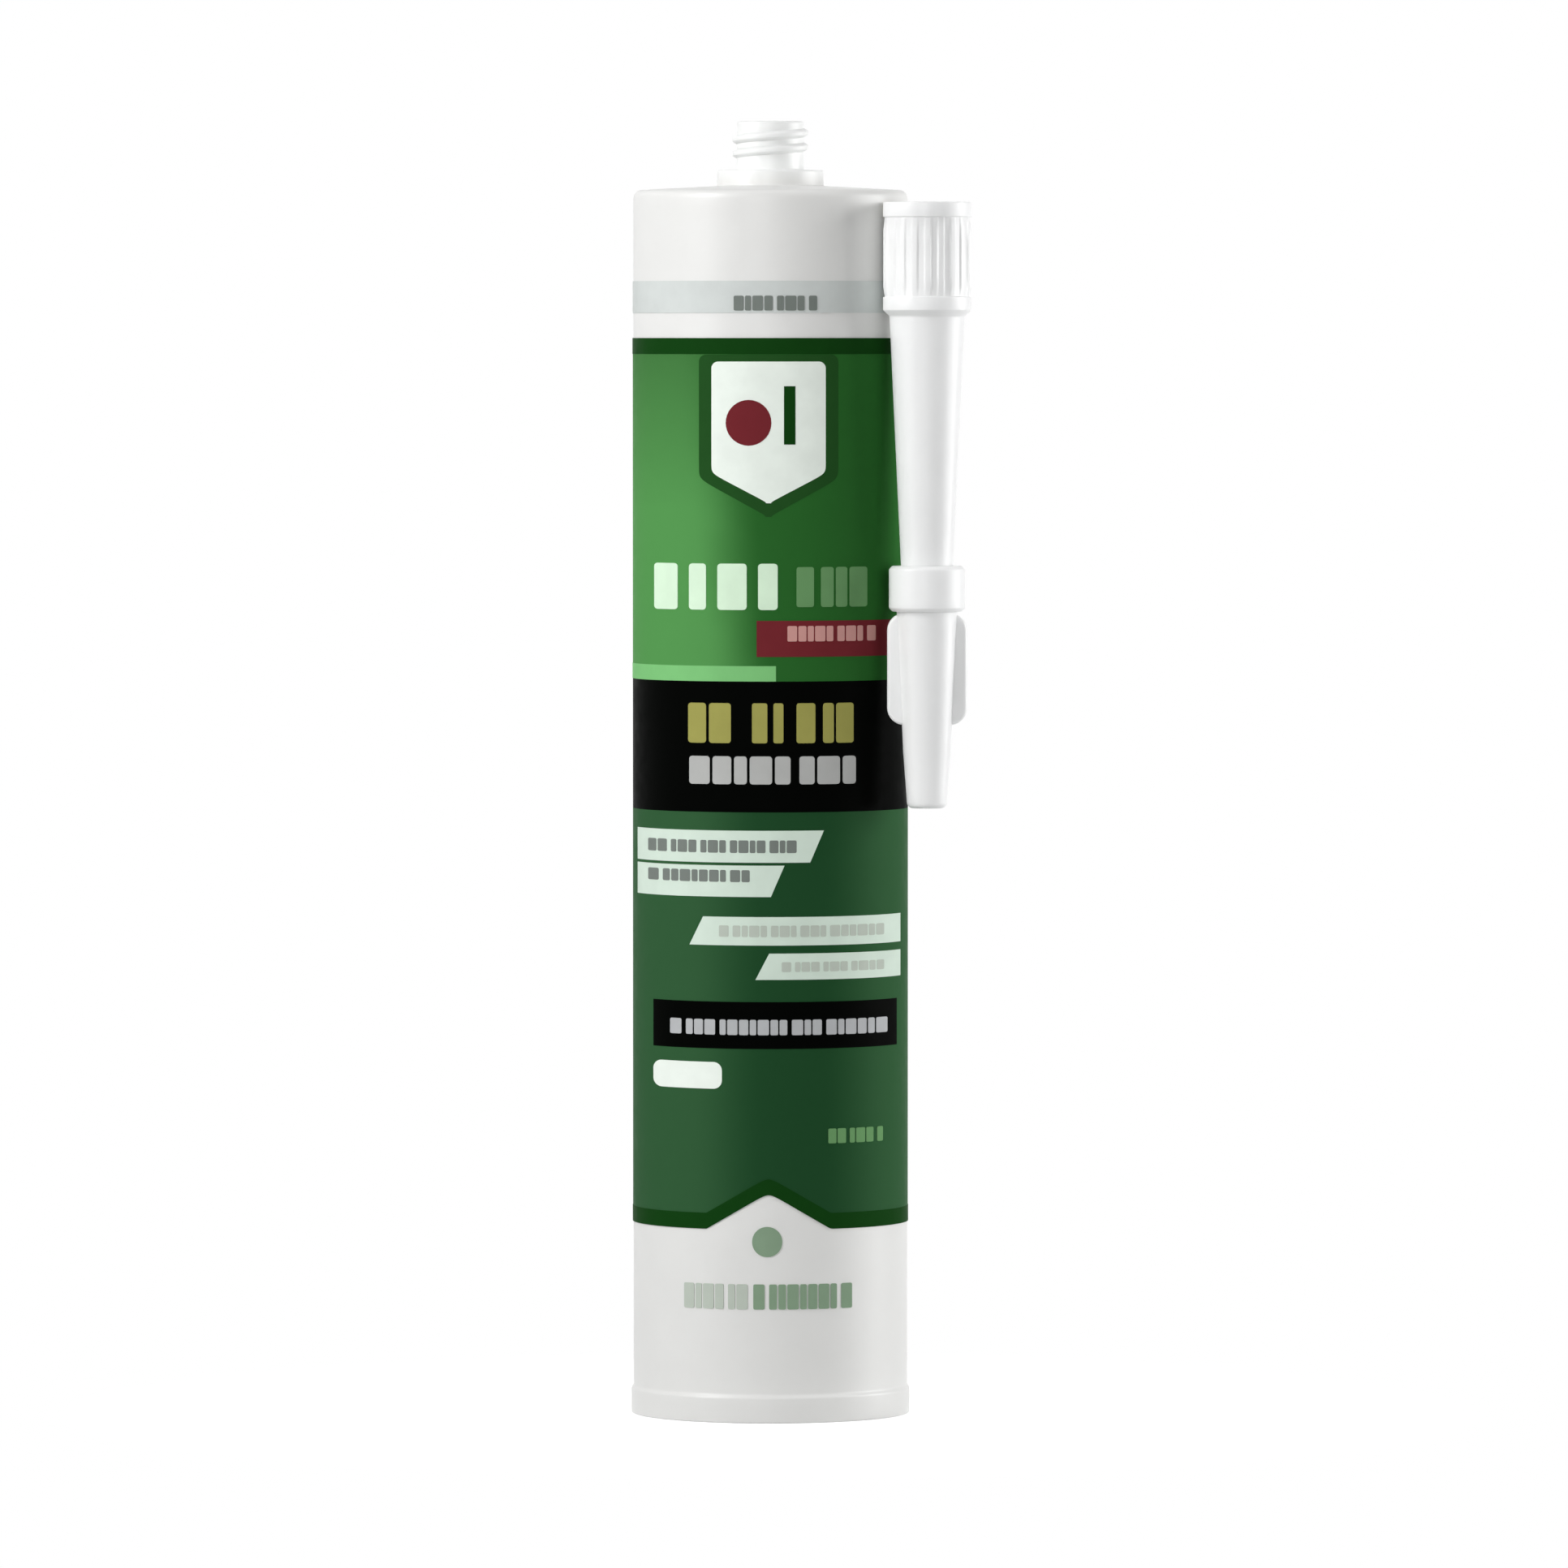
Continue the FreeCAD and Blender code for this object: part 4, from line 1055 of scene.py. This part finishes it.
class CAULK_OT_print_marks(Operator):
    """Prints the lines of plain marks, the bar on the badge, the pale line and the mark in the peak"""
    bl_idname = "caulk.print_marks"
    bl_label = "Print, marks"

    def execute(self, context):
        tone = colours()
        for name, (tint, slot, layer, lines) in MARK_LINES.items():
            shells = []
            for left, right, bottom, top, *pattern in lines:
                shells += marks(left * MM, right * MM, bottom * MM, top * MM, *pattern, layer=layer)
            finished(name, merged(shells), ink(name + "_ink", getattr(tone, tint)))
        single = {
            "badge_bar": (tone.line_green, 2.4, 4.4, 171.4, 181.6, MARK, 0.0),
            "pale_line": (tone.pale_green, -print_edge() / MM, 1.0, 130.0, 132.7, PATCH, 0.0),
            "peak_mark": (tone.moss_mark, -3.2, 2.1, 29.2, 34.5, FIELD, 2.6),
        }
        for name, (tint, left, right, bottom, top, layer, corner) in single.items():
            shell = patch(left * MM, right * MM, bottom * MM, top * MM, layer, corner * MM)
            finished(name, shell, ink(name + "_ink", tint))
        return {"FINISHED"}


class CAULK_OT_nozzle(Operator):
    """Makes the nozzle with its ribbed base and inner thread"""
    bl_idname = "caulk.nozzle"
    bl_label = "Nozzle"

    def execute(self, context):
        white = colours().nozzle
        milky = polyethylene("milky_ldpe_moulded", white, milkiness=0.45, roughness=0.34, ripple=1.3)
        finished("nozzle_moulding", nozzle_shell(), milky, "nozzle")
        finished("socket_thread", socket_thread_shell(), milky)
        return {"FINISHED"}


class CAULK_OT_nozzle_cap(Operator):
    """Makes the push-on cap and its wings"""
    bl_idname = "caulk.nozzle_cap"
    bl_label = "Nozzle cap"

    def execute(self, context):
        white = colours().nozzle
        milky = polyethylene("cap_ldpe_moulded", white, milkiness=0.4, roughness=0.33, ripple=1.2)
        finished("cap_moulding", cap_shell(), milky, "nozzle_cap", body="cap")
        finished("cap_wings", wing_shell(), milky, body="cap")
        return {"FINISHED"}


# The stage, in metres and watts. Each light has its place, its width and height, and its power. The floor's
# shadow fades to white between the two distances of SHADOW_REACH.

CAMERA_PLACE = (0.0024, -2.17, 0.191)
CAMERA_AIM = (0.0024, 0, 0.1112)
CAMERA_LENS = 282
LIGHT_AIM = (0, 0, 0.12)
LIGHTS = {
    "left_softbox": ((-0.56, -0.36, 0.5), (0.25, 0.5), 4.2),
    "front_card": ((-0.2, -1.5, 0.4), (0.4, 0.4), 3.05),
    "top_softbox": ((0, -0.1, 1.0), (0.5, 0.5), 1.1),
    "right_softbox": ((1.0, 0.17, 0.25), (0.4, 0.8), 6.2),
    "side_reflector": ((0.88, -0.19, 0.2), (0.3, 0.6), 2.25),
}
FILL_STRENGTH = 0.13
FLOOR_HALF = 3.0
FLOOR_LEVEL = -0.02 * MM
FLOOR_GLOW = 0.72
SHADOW_REACH = (0.03, 0.13)
PAPER = "#D0D0D0"
WHITE = (1, 1, 1, 1)


def aimed(name, data, place, aim):
    """A light or camera at a place, looking at its aim."""
    made = bpy.data.objects.new(name, data)
    made.location = place
    made.rotation_mode = "QUATERNION"
    made.rotation_quaternion = (Vector(aim) - Vector(place)).to_track_quat("-Z", "Y")
    bpy.context.scene.collection.objects.link(made)
    return made


def add_light(name, place, size, power):
    data = bpy.data.lights.new(name, "AREA")
    data.shape = "RECTANGLE"
    data.size, data.size_y = size
    data.energy = power
    aimed(name, data, place, LIGHT_AIM)


def showing_rays(tree):
    """1 for the rays that show the background: the camera's own, and those thrown back by a gloss or let
    through by glass. 0 for the rays that carry its light."""
    rays = node(tree, "ShaderNodeLightPath").outputs
    mirrored = node(tree, "ShaderNodeMath", {
        "operation": "MAXIMUM",
        0: rays["Is Glossy Ray"],
        1: rays["Is Transmission Ray"],
    })
    shown = node(tree, "ShaderNodeMath", {
        "operation": "MAXIMUM",
        0: rays["Is Camera Ray"],
        1: mirrored.outputs["Value"],
    })
    return shown.outputs["Value"]


def make_world():
    """White where it is seen, and an even grey fill where it lights."""
    world = bpy.data.worlds.new("studio_fill")
    world.use_nodes = True
    tree = world.node_tree
    tree.nodes.clear()
    fill, white = (node(tree, "ShaderNodeBackground", {"Color": WHITE, "Strength": strength})
                   for strength in (FILL_STRENGTH, 1.0))
    mix = node(tree, "ShaderNodeMixShader", {
        0: showing_rays(tree),
        1: fill.outputs["Background"],
        2: white.outputs["Background"],
    })
    node(tree, "ShaderNodeOutputWorld", {"Surface": mix.outputs["Shader"]})
    bpy.context.scene.world = world


def floor_material():
    """Matt white paper sweep: a glow that lights nothing lifts it to white, and leaves the tube's soft
    shadow near its foot."""
    material, tree, place = new_material("white_paper_sweep")
    away = node(tree, "ShaderNodeVectorMath", {"operation": "LENGTH", 0: place})
    far = node(tree, "ShaderNodeMapRange", {
        "interpolation_type": "SMOOTHSTEP",
        "From Min": SHADOW_REACH[0],
        "From Max": SHADOW_REACH[1],
        "Value": away.outputs["Value"],
    })
    seen = showing_rays(tree)
    share = node(tree, "ShaderNodeMath", {"operation": "MULTIPLY", 0: far.outputs["Result"], 1: seen})
    glow = node(tree, "ShaderNodeMath", {"operation": "MULTIPLY", 0: seen, 1: FLOOR_GLOW})
    paper = node(tree, "ShaderNodeBsdfPrincipled", {
        "Base Color": linear(PAPER),
        "Roughness": 0.9,
        "Emission Color": WHITE,
        "Emission Strength": glow.outputs["Value"],
    })
    white = node(tree, "ShaderNodeEmission", {"Color": WHITE, "Strength": 1.0})
    mix = node(tree, "ShaderNodeMixShader", {
        0: share.outputs["Value"],
        1: paper.outputs["BSDF"],
        2: white.outputs["Emission"],
    })
    node(tree, "ShaderNodeOutputMaterial", {"Surface": mix.outputs["Shader"]})
    return material


class CAULK_OT_studio(Operator):
    """Sets the pale floor, soft lights, plain background and camera"""
    bl_idname = "caulk.studio"
    bl_label = "Studio"

    def execute(self, context):
        mesh = bpy.data.meshes.new("paper_sweep")
        corners = [(x * FLOOR_HALF, y * FLOOR_HALF, FLOOR_LEVEL)
                   for x, y in ((-1, -1), (1, -1), (1, 1), (-1, 1))]
        mesh.from_pydata(corners, [], [(0, 1, 2, 3)])
        mesh.materials.append(floor_material())
        floor = bpy.data.objects.new("paper_sweep", mesh)
        context.scene.collection.objects.link(floor)
        make_world()
        for name, light in LIGHTS.items():
            add_light(name, *light)
        camera = bpy.data.cameras.new("photo_camera")
        camera.lens = CAMERA_LENS
        camera.clip_end = 20
        context.scene.camera = aimed("photo_camera", camera, CAMERA_PLACE, CAMERA_AIM)
        context.scene.view_settings.view_transform = "Standard"
        return {"FINISHED"}


class CAULK_PT_tube(Panel):
    """Lists the pieces of the caulk tube"""
    bl_idname = "CAULK_PT_tube"
    bl_label = "Caulk tube"
    bl_space_type = "VIEW_3D"
    bl_region_type = "UI"
    bl_category = "Caulk tube"

    def draw(self, context):
        for operator in OPERATORS:
            self.layout.operator(operator.bl_idname)
        for group_name, group in GROUPS.items():
            box = self.layout.box()
            for name in group.__annotations__:
                box.prop(getattr(context.scene, group_name), name)


GROUPS = {
    "caulk_tube_sizes": TubeSizes,
    "caulk_nozzle_sizes": NozzleSizes,
    "caulk_piston_sizes": PistonSizes,
    "caulk_print_sizes": PrintSizes,
    "caulk_tube_colours": TubeColours,
}
OPERATORS = (
    CAULK_OT_studio,
    CAULK_OT_cartridge,
    CAULK_OT_filling,
    CAULK_OT_print_fields,
    CAULK_OT_print_patches,
    CAULK_OT_print_marks,
    CAULK_OT_nozzle,
    CAULK_OT_nozzle_cap,
)
CLASSES = (*GROUPS.values(), *OPERATORS, CAULK_PT_tube)


def register():
    for item in CLASSES:
        bpy.utils.register_class(item)
    for name, group in GROUPS.items():
        setattr(bpy.types.Scene, name, PointerProperty(type=group))


def unregister():
    for name in GROUPS:
        delattr(bpy.types.Scene, name)
    for item in reversed(CLASSES):
        bpy.utils.unregister_class(item)


def main():
    register()
    for operator in OPERATORS:
        family, name = operator.bl_idname.split(".")
        getattr(getattr(bpy.ops, family), name)()


if __name__ == "__main__":
    main()
